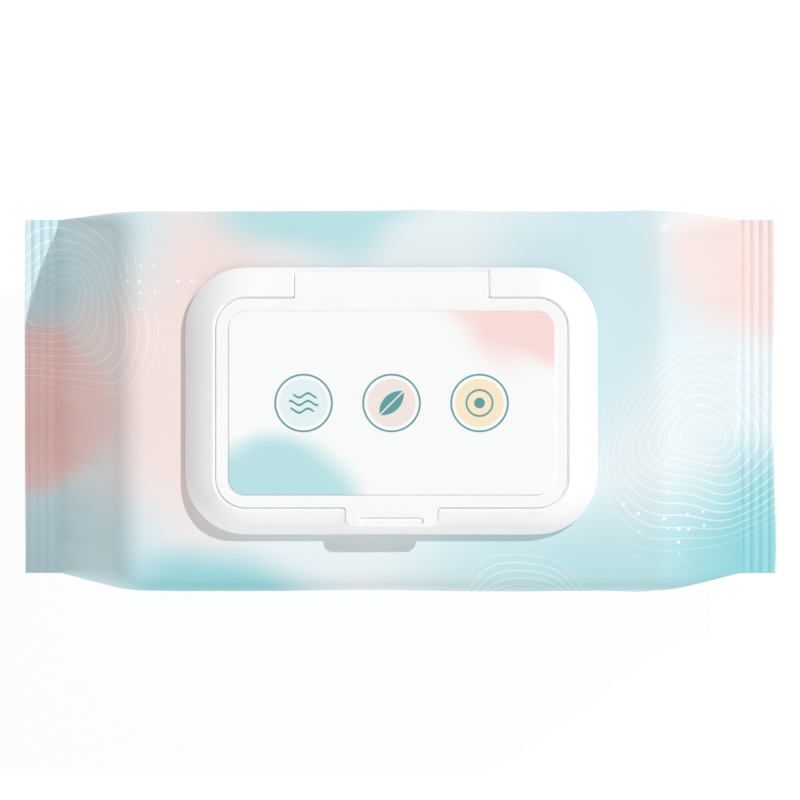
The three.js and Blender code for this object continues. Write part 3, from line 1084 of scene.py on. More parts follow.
    def wall_creases(self, rng: np.random.Generator, x: np.ndarray, s: np.ndarray) -> np.ndarray:
        """Creases in the side walls: long slack ones, and short ones that spread from the tucks."""
        middle = self.half_girth / 2
        reach = self.height / 2 - self.edge_radius
        proud = np.zeros_like(x)
        for side in (-1, 1):
            for _ in range(self.WALL_CREASES):
                start_x = rng.uniform(*self.WALL_START)
                start = (start_x, side * (middle + rng.uniform(*self.WALL_RISE) * reach))
                run = rng.uniform(*self.WALL_RUN) * rng.choice((-1, 1))
                stop = (start[0] + run, start[1] + rng.uniform(*self.WALL_LEAN) * run)
                height = rng.uniform(*self.WALL_HEIGHT) * rng.choice((-1, 1))
                proud += self.crease(x, s, start, stop, height, rng.uniform(*self.WALL_WIDTH))
            for end in (-1, 1):
                for lean in self.TUCK_LEANS:
                    run = rng.uniform(*self.TUCK_RUN)
                    turn = lean + rng.uniform(*self.WALL_LEAN)
                    start_x = end * (self.body_end - self.WALL_LEAD)
                    start = (start_x, side * (middle + self.TUCK_SPREAD * lean))
                    stop = (start[0] - end * run * math.cos(turn), start[1] + side * run * math.sin(turn))
                    height = rng.uniform(*self.TUCK_HEIGHT) * rng.choice((-1, 1))
                    proud += self.crease(x, s, start, stop, height, rng.uniform(*self.TUCK_WIDTH))
        inner = reach - self.WALL_MARGIN
        return proud * smooth(np.abs(np.abs(s) - middle), inner + self.EASE, inner)

    def creases(self, x: np.ndarray, y: np.ndarray, s: np.ndarray) -> np.ndarray:
        """How far the film stands out of its drawn shape.

        Args:
            x, y: Each point's place in plan.
            s: Its place along the flat film, from the middle of the top.

        Returns:
            A distance along each point's normal.
        """
        rng = np.random.default_rng(self.seed)
        along = np.abs(x)
        down = np.abs(s)
        up = self.half_girth - down
        ease = self.EASE
        top = smooth(down, self.FACE_REACH + ease, self.FACE_REACH)
        under = smooth(up, self.FACE_REACH + ease, self.FACE_REACH) * smooth(np.abs(y), *self.BACK_CLEAR)
        lid_x, lid_s = self.LID_CLEAR
        lid = smooth(np.abs(x - self.LID_CENTRE), lid_x + ease, lid_x) * smooth(down, lid_s + ease, lid_s)
        proud = np.zeros_like(x)
        for face in (top, under):
            for end in (-1, 1):
                proud += face * self.end_creases(rng, x, y, end)
        walls = smooth(along, self.body_end + ease, self.body_end - self.WALL_LEAD)
        proud += self.wall_creases(rng, x, s) * walls
        swell = np.zeros_like(x)
        for _ in range(self.SWELLS):
            wave_x, wave_s = rng.uniform(*self.SWELL_TURN), rng.uniform(*self.SWELL_TURN)
            swell += np.sin(wave_x * x + wave_s * s * rng.choice((-1, 1)) + rng.uniform(*self.SWELL_PHASE))
        proud += self.SWELL_HEIGHT * swell * smooth(along, self.seal_start, self.seal_start - ease)
        proud *= 1 - lid
        half = self.width / 2
        floor = smooth(up, half + ease, half) * smooth(along, self.body_end + ease / 2, self.body_end)
        return np.where(floor > 0, np.minimum(proud, self.FLOOR_RISE * (1 - floor)), proud)

    def build(self) -> bpy.types.Object:
        """Lofts the film, creases it and closes its cut ends."""
        x = self.stations()
        sections = np.stack([self.section(abs(place)) for place in x])
        steps = np.linalg.norm(np.diff(sections, axis=1), axis=2)
        run = np.concatenate([np.zeros((len(x), 1)), np.cumsum(steps, axis=1)], axis=1)
        run /= run[:, -1:]
        along = np.broadcast_to(x[:, None, None], (*sections.shape[:2], 1))
        places = np.concatenate([along, sections], axis=2)
        across = np.gradient(places, axis=1)
        normals = np.cross(across, np.gradient(places, axis=0))
        normals /= np.maximum(np.linalg.norm(normals, axis=2, keepdims=True), TINY)
        proud = self.creases(places[..., 0], places[..., 1], (0.5 - run) * 2 * self.half_girth)
        proud[:, -1] = proud[:, 0]
        normals[:, -1] = normals[:, 0]
        places = places + normals * proud[..., None]
        self.settle_seals(places)
        mesh = MeshBuilder()
        rows = [mesh.row(row) for row in places]
        mesh.skin(rows, closed=False)
        for row in (rows[0], rows[-1]):
            self.close_end(mesh, row)
        u = np.repeat((x / self.length + 0.5), places.shape[1])
        flat = np.stack([u, 1 - run.ravel()], axis=1)
        return mesh.build("film_pouch_skin", lambda number: flat[number])

    def back_seal(self) -> bpy.types.Object:
        """Makes the seal along the underside: the web's two edges, pressed together and folded flat."""
        x = self.stations()
        feet = np.stack([self.section(abs(place))[0] for place in x])
        slope = np.gradient(feet[:, 1], x)
        out = np.stack([slope, -np.ones_like(slope)], axis=1) / np.hypot(slope, 1)[:, None]
        half, thick, sunk = self.back_seal_width / 2, self.lift, self.BACK_SUNK
        left, left_share = self.BACK_LEFT
        right, right_share = self.BACK_RIGHT
        lower = [(y, thick) for y in np.linspace(left - half, half - right, self.BACK_STEPS)]
        path = [(-half, -sunk), (-half, thick * left_share), *lower,
                (half, thick * right_share), (half, -sunk)]
        places = np.stack([
            np.stack([x + out[:, 0] * deep, feet[:, 0] + y, feet[:, 1] + out[:, 1] * deep], axis=1)
            for y, deep in path
        ], axis=1)
        self.settle_seals(places)
        mesh = MeshBuilder()
        rows = [mesh.row(row) for row in places]
        mesh.skin(rows)
        for row in (rows[0], rows[-1]):
            mesh.fill([row], [path])
        u = np.repeat(x / self.length + 0.5, len(path))
        v = np.tile([(y + half) / (2 * self.half_girth) for y, _ in path], len(x))
        return mesh.build("film_back_seal", lambda number: (u[number], v[number]))

    def settle_seals(self, places: np.ndarray) -> None:
        """Lets the end seals and their cuts wave a little, all layers together."""
        x, y = places[..., 0], places[..., 1]
        share = smooth(np.abs(x), self.body_end + self.SEAL_LEAD, self.seal_start)
        turn = np.where(x > 0, *self.SEAL_TURNS)
        for height, run, count in self.SEAL_WAVES:
            places[..., 2] += share * height * np.sin(y / run + count * turn)
        depth, middle, reach = self.CUT_BAY
        bay = depth * np.exp(-((y - middle) / reach) ** 4)
        proud, corner, spread = self.CUT_LOBE
        lobe = proud * np.exp(-((y - corner) / spread) ** 2)
        wave, length, phase = self.CUT_WAVE
        left = -wave * (1 + np.sin(y / length + phase))
        places[..., 0] += share * np.where(x > 0, self.CUT_REACH - bay + lobe, left)

    def close_end(self, mesh: MeshBuilder, row: Sequence[int]) -> None:
        """Closes a cut end by joining the lower layer to the upper one, on each side of the middle."""
        last = (len(row) - 1) // 2
        for side in (row[:last + 1], row[last:][::-1]):
            for i in range(last // 2 - 1):
                mesh.faces.append((side[i], side[i + 1], side[last - i - 1], side[last - i]))
            fold = last // 2
            mesh.faces.append((side[fold - 1], side[fold], side[fold + 1]))


@dataclass(frozen=True)
class LidPlan:
    """Sizes that the lid's pieces share, from the middle of the frame and up from its underside.

    Args:
        centre_x, base: Where the frame's middle and underside lie.
        half_x, half_y, corner: The frame's outline.
        foot, height: Levels of the slope's foot and of the closed top.
        crest, land: How far in the slope ends, and how far in the rim's flat ends.
        turn: How far the rim's slope arches over, in degrees.
        ledge, window: Level of the ledge under the flap, and how far in it ends.
        plate: How far in the flap's edge lies.
        neck: Half the apron's width.
        apron_foot: Level of the apron's lower edge.
        tab_half, tab_tip: Half the tab's width, and how far forward it reaches.
        gap: Between the flap and the frame.
        front_saving: How much narrower the rim is along the front.
        label_recess, label_floor, label_thickness: How far in the label lies, on what level, and its own.
        ring_outer, ring_inner, ring_foot: How far in the sealing ring's walls lie, and its lower level.
    """

    centre_x: float = -2.0
    base: float = 56.4
    half_x: float = 54.1
    half_y: float = 35.0
    corner: float = 16.0
    foot: float = 1.0
    height: float = 6.6
    crest: float = 7.2
    land: float = 7.7
    turn: float = 30.0
    ledge: float = 4.7
    window: float = 10.5
    plate: float = 8.15
    neck: float = 25.4
    apron_foot: float = 2.35
    tab_half: float = 12.0
    tab_tip: float = 33.0
    gap: float = 0.45
    front_saving: float = 1.05
    label_recess: float = 11.55
    label_floor: float = 6.25
    label_thickness: float = 0.7
    ring_outer: float = 11.4
    ring_inner: float = 12.4
    ring_foot: float = 2.8

    @property
    def slope_radius(self) -> float:
        """Radius of the rim's arched slope."""
        chord = math.hypot(self.crest, self.height - self.foot)
        return chord / (2 * math.sin(math.radians(self.turn / 2)))

    @property
    def crest_pitch(self) -> float:
        """The slope's angle where it meets the top."""
        return math.atan2(self.height - self.foot, self.crest) - math.radians(self.turn / 2)

    def slope(self, pitch: float) -> Point2:
        """How far in, and how high, the slope has a given angle."""
        radius = self.slope_radius
        foot_pitch = self.crest_pitch + math.radians(self.turn)
        inwards = radius * (math.sin(foot_pitch) - math.sin(pitch))
        return inwards, self.foot + radius * (math.cos(pitch) - math.cos(foot_pitch))

    def front_shift(self, inwards: float) -> float:
        """How much further forward an inset line lies along the front, where the rim is narrower."""
        return self.front_saving * min(inwards / self.land, 1.0)

    def outline(self, inwards: float, steps: int = 20) -> list[Point2]:
        """The frame's rounded outline, moved inwards."""
        x, y, r = self.half_x - inwards, self.half_y - inwards, self.corner - inwards
        front = y + self.front_shift(inwards)
        return fillet([(x, -front, r), (x, y, r), (-x, y, r), (-x, -front, r)], steps)

    def place(self, x: float, y: float, level: float) -> Point3:
        """A point of the lid in the shared frame."""
        return x + self.centre_x, y, level + self.base


@dataclass
class LidFrame:
    """The moulded frame: an arched rim, a ledge and a window, notched for the apron and the tab.

    Args:
        plan: The lid's shared sizes.
        notch_floor: Level of the notch under the apron.
        bead, bead_depth: How far in, and how far down, the bead that closes the gap round the flap lies.
        wall_run: Length over which a notch's side falls.
    """

    plan: LidPlan
    notch_floor: float = 1.5
    bead: float = 8.08
    bead_depth: float = 0.42
    wall_run: float = 0.04

    EDGE = 0.15
    FOOT_RADIUS = 0.5
    CREST_RADIUS = 1.5
    LEDGE_RADIUS = 0.3
    ARCH_STEPS = 14
    CORNER_STEPS = 6

    def profile(self) -> tuple[list[Point2], int]:
        """The rim's section, and how many of its points a notch may cut down."""
        plan = self.plan
        foot_pitch = plan.crest_pitch + math.radians(plan.turn)
        pitches = np.linspace(foot_pitch, plan.crest_pitch, self.ARCH_STEPS)[1:-1]
        bead_top = plan.height - self.bead_depth
        outer = [(0, 0, self.EDGE), (0, plan.foot, self.FOOT_RADIUS),
                 *((*plan.slope(pitch), 0) for pitch in pitches),
                 (plan.crest, plan.height, self.CREST_RADIUS), (plan.land, plan.height, self.EDGE),
                 (plan.land, bead_top, 0), (self.bead, bead_top, 0), (self.bead, plan.ledge, 0)]
        inner = [(self.bead, plan.ledge, 0), (plan.window, plan.ledge, self.LEDGE_RADIUS),
                 (plan.window, 0, self.EDGE)]
        section = fillet(outer + inner, self.CORNER_STEPS)
        rounded = sum(1 for corner in inner if corner[2] > 0)
        return section, len(section) - rounded * (self.CORNER_STEPS + 1) - 1

    def notches(self) -> tuple[Point3, ...]:
        """Each notch's half width, the side of the outline that it is cut in, and its floor's level."""
        plan = self.plan
        return ((plan.neck + plan.gap, plan.half_y, self.notch_floor),
                (plan.tab_half + plan.gap, -plan.half_y, plan.ledge))

    def stations(self) -> list[Point2]:
        """The outline, with close pairs of places at each side of each notch."""
        loop = self.plan.outline(0)
        added: list[Point2] = []
        for half, y, _ in self.notches():
            bead = half - (self.bead - self.plan.land)
            for x in (half, half - self.wall_run, bead, bead - self.wall_run):
                added.extend([(x, y), (-x, y)])
        corners = len(loop) // 4
        back = sorted((p for p in added if p[1] > 0), reverse=True)
        front = sorted(p for p in added if p[1] < 0)
        return [*loop[:2 * corners], *back, *loop[2 * corners:], *front]

    def cut_down(self, x: float, y: float, level: float) -> float:
        """The rim's level at a place on its outline, once the notches are cut.

        Args:
            x, y: The place.
            level: The uncut level.

        Returns:
            The notch's floor inside a notch, the bead's top at its side, and the uncut level elsewhere.
        """
        slack = self.wall_run / 2
        for half, side, floor in self.notches():
            if abs(y - side) > slack or abs(x) > half - slack:
                continue
            bare = min(level, floor)
            if abs(x) > half - (self.bead - self.plan.land) - slack:
                return max(bare, level - self.bead_depth)
            return bare
        return level

    def build(self) -> bpy.types.Object:
        """Sweeps the rim's section round the outline."""
        stations = self.stations()
        section, cut = self.profile()
        mesh = MeshBuilder()
        rows = []
        for number, (inwards, level) in enumerate(section):
            shift = self.plan.front_shift(inwards)
            loop = [(x, y - shift if y < 0 else y) for x, y in inset(stations, inwards)]
            rows.append(mesh.row([
                self.plan.place(*moved, self.cut_down(*place, level) if number < cut else level)
                for moved, place in zip(loop, stations)
            ]))
        mesh.skin(rows, looped=True)
        made = mesh.build("lid_frame_moulding")
        flatten_shading(made)
        return made


@dataclass
class LidFlap:
    """The flap: a plate with a rolled apron, a finger tab, a label recess and a sealing ring.

    Args:
        plan: The lid's shared sizes.
        thickness: Of the sheet.
        lip: Radius of its upper edge.
        land: How far its edge goes straight down.
        step: How far its underside steps in.
        crest_run: Length over which the sheet bends into the apron.
        pocket_half, pocket_front, pocket_back, pocket_depth: The grip's pocket in the tab.
    """

    plan: LidPlan
    thickness: float = 1.55
    lip: float = 0.25
    land: float = 0.5
    step: float = 0.7
    crest_run: float = 1.2
    pocket_half: float = 8.4
    pocket_front: float = 32.2
    pocket_back: float = 30.4
    pocket_depth: float = 0.5

    ROLL_STEP = 0.02
    ROLL_SPARE = 4.0
    TAB_CORNER = 2.5
    TAB_ROOT = 0.8
    NECK_ROOT = 0.45
    APRON_CORNER = 0.9
    TIE_MARGINS = (0.6, 1.0)  # from the plate's edge, and from the apron's foot
    TIE_PITCH = 0.3
    LIP_STEPS = 6
    UNDERCUT = ((0.1, 0.5), (0.0, 0.65))  # each point short of the step, and below the land
    CORNER_STEPS = 12
    RECESS_BEVEL = 0.02
    POCKET_CORNER = 0.7
    POCKET_STEPS = 6
    POCKET_BEVEL = 0.07
    RING_EDGE = 0.35
    RING_STEPS = 5
    RING_SUNK = 0.1
    LABEL_GAP = 0.02
    LABEL_EDGE = 0.05

    def __post_init__(self) -> None:
        """Works out how the sheet rolls over the crest and down the slope."""
        plan = self.plan
        crest = plan.half_y - plan.crest
        step = self.ROLL_STEP
        self.run = np.arange(crest - self.crest_run, plan.half_y + self.ROLL_SPARE, step)
        bent = smooth(self.run, crest - self.crest_run / 2, crest + self.crest_run / 2)
        arched = np.maximum(self.run - crest, 0) / plan.slope_radius
        self.pitch = bent * plan.crest_pitch + arched
        self.run_y = self.run[0] + np.concatenate([[0], np.cumsum(np.cos(self.pitch[:-1])) * step])
        self.run_level = plan.height - np.concatenate([[0], np.cumsum(np.sin(self.pitch[:-1])) * step])
        self.foot = float(np.interp(-plan.apron_foot, -self.run_level, self.run))

    def roll(self, x: float, run: float, depth: float) -> Point3:
        """Where a point of the flat sheet lies on the lid.

        Args:
            x, run: Its place on the flat sheet.
            depth: How far it lies under the upper face.

        Returns:
            The point in the shared frame.
        """
        if run <= self.run[0]:
            return self.plan.place(x, run, self.plan.height - depth)
        pitch = np.interp(run, self.run, self.pitch)
        y = np.interp(run, self.run, self.run_y) - depth * math.sin(pitch)
        level = np.interp(run, self.run, self.run_level) - depth * math.cos(pitch)
        return self.plan.place(x, y, level)

    def outline(self) -> tuple[list[Point2], list[tuple[int, int]]]:
        """The flat sheet's outline, and the pairs of its points that lie across the apron."""
        plan = self.plan
        x, y, r = plan.half_x - plan.plate, plan.half_y - plan.plate, plan.corner - plan.plate
        front = y + plan.front_shift(plan.plate)
        across = np.arange(y + self.TIE_MARGINS[0], self.foot - self.TIE_MARGINS[1], self.TIE_PITCH)
        right = [
            (plan.tab_half, -plan.tab_tip, self.TAB_CORNER), (plan.tab_half, -front, self.TAB_ROOT),
            (x, -front, r), (x, y, r), (plan.neck, y, self.NECK_ROOT),
            *((plan.neck, run, 0) for run in across), (plan.neck, self.foot, self.APRON_CORNER),
        ]
        left = [(-px, py, radius) for px, py, radius in right[::-1]]
        path = fillet([left[-1], *right, *left[:-1]], self.CORNER_STEPS)
        numbers = {(round(px, 5), round(py, 5)): i for i, (px, py) in enumerate(path)}
        sides = (round(plan.neck, 5), round(-plan.neck, 5))
        ties = [tuple(numbers[side, round(run, 5)] for side in sides) for run in across]
        return path, ties

    def edge(self) -> list[Point2]:
        """How the sheet's edge runs from its upper face to its lower one: inwards, and down."""
        angles = np.linspace(0, math.pi / 2, self.LIP_STEPS)
        lip = [(self.lip * (1 - math.sin(a)), self.lip * (1 - math.cos(a))) for a in angles]
        under = [(self.step - short, self.land + fall) for short, fall in self.UNDERCUT]
        return [*lip, (0, self.land), *under, (self.step, self.thickness)]

    def sink(self, mesh: MeshBuilder, loop: Sequence[Point2], depth: float,
             bevel: float) -> tuple[list[int], list[Point2]]:
        """Sinks a flat-bottomed pocket into the upper face.

        Args:
            mesh: The flap's mesh.
            loop: The pocket's outline.
            depth: How deep it is.
            bevel: Of its upper edge.

        Returns:
            The point numbers and places of its rim, which the upper face has to leave open.
        """
        rim = inset(loop, -bevel)
        rows = [mesh.row([self.roll(x, y, level) for x, y in path])
                for path, level in ((rim, 0.0), (loop, bevel), (loop, depth))]
        mesh.skin(rows)
        mesh.fill([rows[-1]], [loop])
        return rows[0], rim

    def build(self) -> bpy.types.Object:
        """Makes the flap's mesh."""
        mesh = MeshBuilder()
        path, ties = self.outline()
        loops = [inset(path, inwards) for inwards, _ in self.edge()]
        rows = [mesh.row([self.roll(x, y, depth) for x, y in loop])
                for loop, (_, depth) in zip(loops, self.edge())]
        mesh.skin(rows)
        plan = self.plan
        hollow = plan.outline(plan.label_recess, self.CORNER_STEPS)
        recess = self.sink(mesh, hollow, plan.height - plan.label_floor, self.RECESS_BEVEL)
        half, front, back = self.pocket_half, -self.pocket_front, -self.pocket_back
        places = ((-half, front), (half, front), (half, back), (-half, back))
        corners = [(x, y, self.POCKET_CORNER) for x, y in places]
        pocket = self.sink(mesh, fillet(corners, self.POCKET_STEPS), self.pocket_depth, self.POCKET_BEVEL)
        mesh.fill([rows[0], recess[0], pocket[0]], [loops[0], recess[1], pocket[1]], ties)
        mesh.fill([rows[-1]], [loops[-1]], ties)
        self.ring(mesh)
        made = mesh.build("lid_flap")
        flatten_shading(made)
        return made

    def ring(self, mesh: MeshBuilder) -> None:
        """Adds the sealing ring under the plate."""
        plan = self.plan
        top = plan.height - self.thickness + self.RING_SUNK
        section = fillet([(plan.ring_outer, top, 0), (plan.ring_outer, plan.ring_foot, self.RING_EDGE),
                          (plan.ring_inner, plan.ring_foot, self.RING_EDGE), (plan.ring_inner, top, 0)],
                         self.RING_STEPS)
        rows = [mesh.row([plan.place(x, y, level) for x, y in plan.outline(inwards, self.CORNER_STEPS)])
                for inwards, level in section]
        mesh.skin(rows, looped=True)

    def label(self) -> bpy.types.Object:
        """Makes the label that lies in the recess."""
        plan = self.plan
        mesh = MeshBuilder()
        side = plan.label_recess + self.LABEL_GAP
        top, edge = plan.label_thickness, self.LABEL_EDGE
        steps = ((side + edge, 0.0), (side, edge), (side, top - edge), (side + edge, top))
        rows, loops = [], []
        for inwards, rise in steps:
            loops.append(plan.outline(inwards, self.CORNER_STEPS))
            rows.append(mesh.row([plan.place(x, y, plan.label_floor + rise) for x, y in loops[-1]]))
        mesh.skin(rows)
        for end in (0, -1):
            mesh.fill([rows[end]], [loops[end]])
        made = mesh.build("lid_label_film")
        flatten_shading(made)
        return made


@dataclass
class HingeWeb:
    """The thin web that joins the apron's foot to the frame, where the real hinge bends as the lid opens;
    it is made as a still bar.

    Args:
        plan: The lid's shared sizes.
        flap: The flap that it joins.
        half_width: Half its length along the hinge.
        thickness: Of the web.
        notch_floor: Level of the frame's notch.
        sunk, raised: How far it runs into the frame, and into the apron.
        edge: Radius of its edges.
    """

    plan: LidPlan
    flap: LidFlap
    half_width: float = 24.9
    thickness: float = 0.4
    notch_floor: float = 1.5
    sunk: float = 0.4
    raised: float = 0.3
    edge: float = 0.1

    EDGE_STEPS = 4
    BEND_STEPS = 12
    STATIONS = 25

    def ends(self) -> tuple[Point3, Point3]:
        """Where the web leaves the frame, and where it meets the apron."""
        x, y, level = self.flap.roll(0, self.flap.foot, self.flap.thickness / 2)
        return self.plan.place(0, y, self.notch_floor), (x, y, level)

    def build(self) -> bpy.types.Object:
        """Makes the web, as a thin bar with rounded sides."""
        low, high = self.ends()
        half, foot, head = self.thickness / 2, low[2] - self.sunk, high[2] + self.raised
        corners = ((-half, foot), (half, foot), (half, head), (-half, head))
        section = fillet([(y, z, self.edge) for y, z in corners], self.EDGE_STEPS)
        levels = np.linspace(foot + self.edge, head - self.edge, self.BEND_STEPS)
        right = [(half, z) for z in levels]
        path = [p for p in section if p[1] < levels[0]] + right
        path += [p for p in section if p[1] > levels[-1]] + [(-x, z) for x, z in right[::-1]]
        mesh = MeshBuilder()
        stations = np.linspace(-self.half_width, self.half_width, self.STATIONS)
        rows = [mesh.row([(x + self.plan.centre_x, low[1] + y, z) for y, z in path]) for x in stations]
        mesh.skin(rows)
        for row in (rows[0], rows[-1]):
            mesh.fill([row], [path])
        return mesh.build("lid_hinge_web")


@dataclass
class PeelSeal:
    """The peel-off film over the opening, with a pull tab that stands up a little.

    Args:
        centre_x, level: Where its middle lies, and the film that it is stuck to.
        half_x, half_y, corner: Its outline.
        tab_half, tab_reach: The pull tab.
        thickness: Of the film.
        curl: How far the pull tab's end stands up.
        pucker: How far the film puckers.
    """

    centre_x: float = -2.0
    level: float = 56.0
    half_x: float = 35.0
    half_y: float = 19.0
    corner: float = 12.0
    tab_half: float = 7.5
    tab_reach: float = 6.0
    thickness: float = 0.2
    curl: float = 1.3
    pucker: float = 0.05

    CURL_LEAD = 1.0
    CURL_POWER = 1.6
    PUCKER_TURNS = (0.31, 0.27)  # radians in each millimetre, along X and Y
    PUCKER_SWAY = (0.5, 0.4)  # its height, and its radians in each millimetre
    PUCKER_PHASE = 1.1
    FLAT_EDGE = 4.0
    TAB_ROOT = 0.8
    TAB_CORNER = 3.0
    CORNER_STEPS = 12
    GRID = 1.0
    GRID_MARGIN = 0.5

    def lift(self, x: float, y: float) -> float:
        """How far the film stands off what is under it."""
        along = (x - self.half_x + self.CURL_LEAD) / (self.tab_reach + self.CURL_LEAD)
        rise = self.curl * max(0.0, along) ** self.CURL_POWER
        turn_x, turn_y = self.PUCKER_TURNS
        sway, sway_turn = self.PUCKER_SWAY
        wave = math.sin(x * turn_x + sway * math.sin(y * sway_turn))
        wave *= math.sin(y * turn_y + self.PUCKER_PHASE)
        inwards = min(self.half_x - abs(x), self.half_y - abs(y)) / self.FLAT_EDGE
        return rise + self.pucker * (1 + wave) * min(1.0, max(0.0, inwards))

    def row(self, mesh: MeshBuilder, places: Sequence[Point2], height: float) -> list[int]:
        """Adds the film's points at these places, a height over its underside."""
        return mesh.row([(x + self.centre_x, y, self.level + self.lift(x, y) + height) for x, y in places])

    def build(self) -> bpy.types.Object:
        """Makes the seal as a grid of film cut to its outline."""
        x, y, tip = self.half_x, self.half_y, self.half_x + self.tab_reach
        loop = fillet([
            (x, -y, self.corner), (x, -self.tab_half, self.TAB_ROOT),
            (tip, -self.tab_half, self.TAB_CORNER), (tip, self.tab_half, self.TAB_CORNER),
            (x, self.tab_half, self.TAB_ROOT), (x, y, self.corner),
            (-x, y, self.corner), (-x, -y, self.corner),
        ], self.CORNER_STEPS)
        mesh = MeshBuilder()
        edge = inset(loop, self.GRID_MARGIN)
        grid = [(gx, gy) for gx in np.arange(-x, tip, self.GRID) for gy in np.arange(-y, y, self.GRID)]
        spare = [point for point in grid if inside(point, edge)]
        rows = []
        for height in (0.0, self.thickness):
            outer = self.row(mesh, loop, height)
            inner = self.row(mesh, spare, height)
            mesh.fill([outer], [loop], loose=(inner, spare))
            rows.append(outer)
        mesh.skin(rows)
        return mesh.build("peel_seal_film")


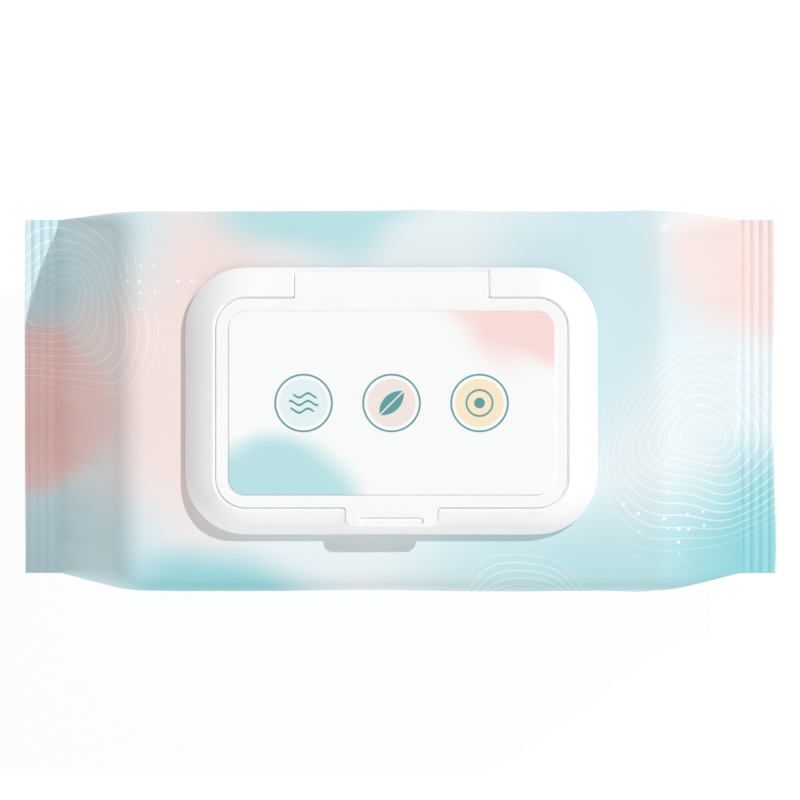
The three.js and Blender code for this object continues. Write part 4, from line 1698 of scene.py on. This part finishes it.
@dataclass
class Studio:
    """The product photograph's set: a long lens straight above, a crisp key, soft fill and white paper.

    Args:
        lens, height: The camera's focal length and its height over the ground, in millimetres.
        offset: How far the camera stands off the origin, along X and Y.
        key_from, fill_from, rim_from: Directions from the object towards the three suns.
        key_strength, fill_strength, rim_strength: Their irradiances.
        key_angle, soft_angle: Apparent sizes of the key and of the other two, in degrees.
        ambient: Strength of the sky that lights the surfaces.
    """

    lens: float = 315.0
    height: float = 1892.9
    offset: Point2 = (0.21, 0.26)
    key_from: Point3 = (0.521, 0.593, 0.608)
    key_strength: float = 1.97
    key_angle: float = 1.4
    fill_from: Point3 = (-0.15, -0.83, 0.53)
    fill_strength: float = 1.25
    rim_from: Point3 = (0.9, 0.05, 0.43)
    rim_strength: float = 0.05
    soft_angle: float = 70.0
    ambient: float = 0.37

    SENSOR_WIDTH = 36
    FAR = 100  # metres
    WHITE = (1, 1, 1, 1)
    FLOOR_REACH = 4000
    FLOOR_LEVEL = -0.05
    FLOOR_BOUNCE = (0.8, 0.8, 0.8, 1)
    FLOOR_MATT = (0.13, 0.13, 0.13, 1)
    FLOOR_GLOW = 0.9

    def build(self) -> None:
        """Sets up the camera, the lights, the sky and the floor."""
        self.camera()
        self.sun("key", self.key_from, self.key_strength, self.key_angle)
        self.sun("fill", self.fill_from, self.fill_strength, self.soft_angle)
        self.sun("rim", self.rim_from, self.rim_strength, self.soft_angle)
        self.sky()
        self.floor()
        bpy.context.scene.view_settings.view_transform = "Standard"

    def camera(self) -> None:
        """Places the camera over the pack, looking straight down."""
        data = bpy.data.cameras.new("camera")
        data.lens = self.lens
        data.sensor_width = self.SENSOR_WIDTH
        data.clip_end = self.FAR
        made = bpy.data.objects.new("camera", data)
        made.location = (self.offset[0] * MM, self.offset[1] * MM, self.height * MM)
        bpy.context.scene.collection.objects.link(made)
        bpy.context.scene.camera = made

    def sun(self, name: str, towards: Point3, strength: float, angle: float) -> None:
        """Adds a sun.

        Args:
            name: Its name.
            towards: Direction from the object to it.
            strength: Its irradiance.
            angle: Its apparent size in degrees.
        """
        data = bpy.data.lights.new(name, "SUN")
        data.energy = strength
        data.angle = math.radians(angle)
        made = bpy.data.objects.new(name, data)
        made.rotation_euler = Vector(towards).to_track_quat("Z", "Y").to_euler()
        made.location = Vector(towards)
        bpy.context.scene.collection.objects.link(made)

    @staticmethod
    def seen_rays(tree: bpy.types.NodeTree) -> bpy.types.NodeSocket:
        """Tells the rays that show the background, seen, mirrored or through a clear piece, by a 1."""
        path = tree.nodes.new("ShaderNodeLightPath")
        shown = path.outputs["Is Camera Ray"]
        for kind in ("Is Glossy Ray", "Is Transmission Ray"):
            either = tree.nodes.new("ShaderNodeMath")
            either.operation = "MAXIMUM"
            tree.links.new(shown, either.inputs[0])
            tree.links.new(path.outputs[kind], either.inputs[1])
            shown = either.outputs[0]
        return shown

    def sky(self) -> None:
        """A dim even sky for the surfaces, and plain white where it is seen or mirrored."""
        world = bpy.data.worlds.new("studio")
        bpy.context.scene.world = world
        world.use_nodes = True
        tree = world.node_tree
        tree.nodes.clear()
        output = tree.nodes.new("ShaderNodeOutputWorld")
        blend = tree.nodes.new("ShaderNodeMixShader")
        for number, strength in ((1, self.ambient), (2, 1.0)):
            glow = tree.nodes.new("ShaderNodeBackground")
            glow.inputs["Color"].default_value = self.WHITE
            glow.inputs["Strength"].default_value = strength
            tree.links.new(glow.outputs[0], blend.inputs[number])
        tree.links.new(self.seen_rays(tree), blend.inputs[0])
        tree.links.new(blend.outputs[0], output.inputs["Surface"])

    def floor(self) -> None:
        """White paper under the pack, bright enough to read as plain white and still take its shadow."""
        mesh = MeshBuilder()
        corners = ((-1, -1), (1, -1), (1, 1), (-1, 1))
        row = mesh.row([(x * self.FLOOR_REACH, y * self.FLOOR_REACH, self.FLOOR_LEVEL) for x, y in corners])
        mesh.faces.append(tuple(row))
        paper = mesh.build("floor")
        graph = NodeGraph("white_paper")
        bounce = graph.node("ShaderNodeBsdfDiffuse", Color=self.FLOOR_BOUNCE)
        matt = graph.node("ShaderNodeBsdfDiffuse", Color=self.FLOOR_MATT)
        glow = graph.node("ShaderNodeEmission", Color=self.WHITE, Strength=self.FLOOR_GLOW)
        seen = graph.node("ShaderNodeAddShader")
        graph.tree.links.new(matt.outputs[0], seen.inputs[0])
        graph.tree.links.new(glow.outputs[0], seen.inputs[1])
        both = graph.node("ShaderNodeMixShader", Fac=self.seen_rays(graph.tree))
        graph.tree.links.new(bounce.outputs[0], both.inputs[1])
        graph.tree.links.new(seen.outputs[0], both.inputs[2])
        graph.tree.links.new(both.outputs[0], graph.output.inputs["Surface"])
        dress(paper, graph.material)


def place(piece: bpy.types.Object, body: Body, node: str, slot: str) -> None:
    """Attaches a piece to the body it moves with, hides the CAD node it stands for and logs its face count.
    """
    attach(piece, body.value)
    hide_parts(node)
    LOG.info("%s: %d faces, on %s", piece.name, len(piece.data.polygons), body.value)


def build_pouch() -> None:
    """Builds the film and its back seal."""
    pouch = FilmPouch()
    film = PrintedFilm(pouch.length, 2 * pouch.half_girth).material()
    crimp = CrimpTree()
    skin = pouch.build()
    crimp.press(skin, film, **pouch.grooves())
    place(skin, Body.PACK, "film_pouch", "printed_film")
    strip = pouch.back_seal()
    crimp.press(strip, film, **pouch.ribs())
    crimp.press(strip, film, **pouch.grooves())
    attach(strip, Body.PACK.value)


def build_lid(frame: dict[str, Any]) -> None:
    """Builds the lid's frame, flap, label, hinge web and peel seal, and gives the CAD tape its finish.

    Args:
        frame: The loaded CAD frame.
    """
    plan = LidPlan()
    plastic = MouldedPlastic().material()
    rim = LidFrame(plan).build()
    dress(rim, plastic)
    place(rim, Body.PACK, "lid_frame", "moulded_plastic")
    flap = LidFlap(plan)
    plate = flap.build()
    dress(plate, plastic)
    place(plate, Body.LID, "lid", "moulded_plastic")
    label = flap.label()
    dress(label, LabelPrint(plan.centre_x, -plan.front_saving / 2).material())
    place(label, Body.LID, "lid_label", "label_film")
    web = HingeWeb(plan, flap)
    strip = web.build()
    dress(strip, plastic)
    start, end = web.ends()
    tuple(c * MM for c in start)
    tuple(c * MM for c in end)
    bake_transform(strip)
    seal = PeelSeal()
    film = seal.build()
    dress(film, SealFilm(seal.centre_x, seal.half_x).material())
    place(film, Body.PACK, "peel_seal", "seal_film")
    dress(frame["nodes"]["frame_adhesive"], FoamTape().material())


def main() -> None:
    """Builds the pack piece by piece."""
    logging.basicConfig(level=logging.INFO, format="%(name)s: %(message)s")
    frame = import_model()
    build_pouch()
    build_lid(frame)
    Studio().build()


if __name__ == "__main__":
    main()
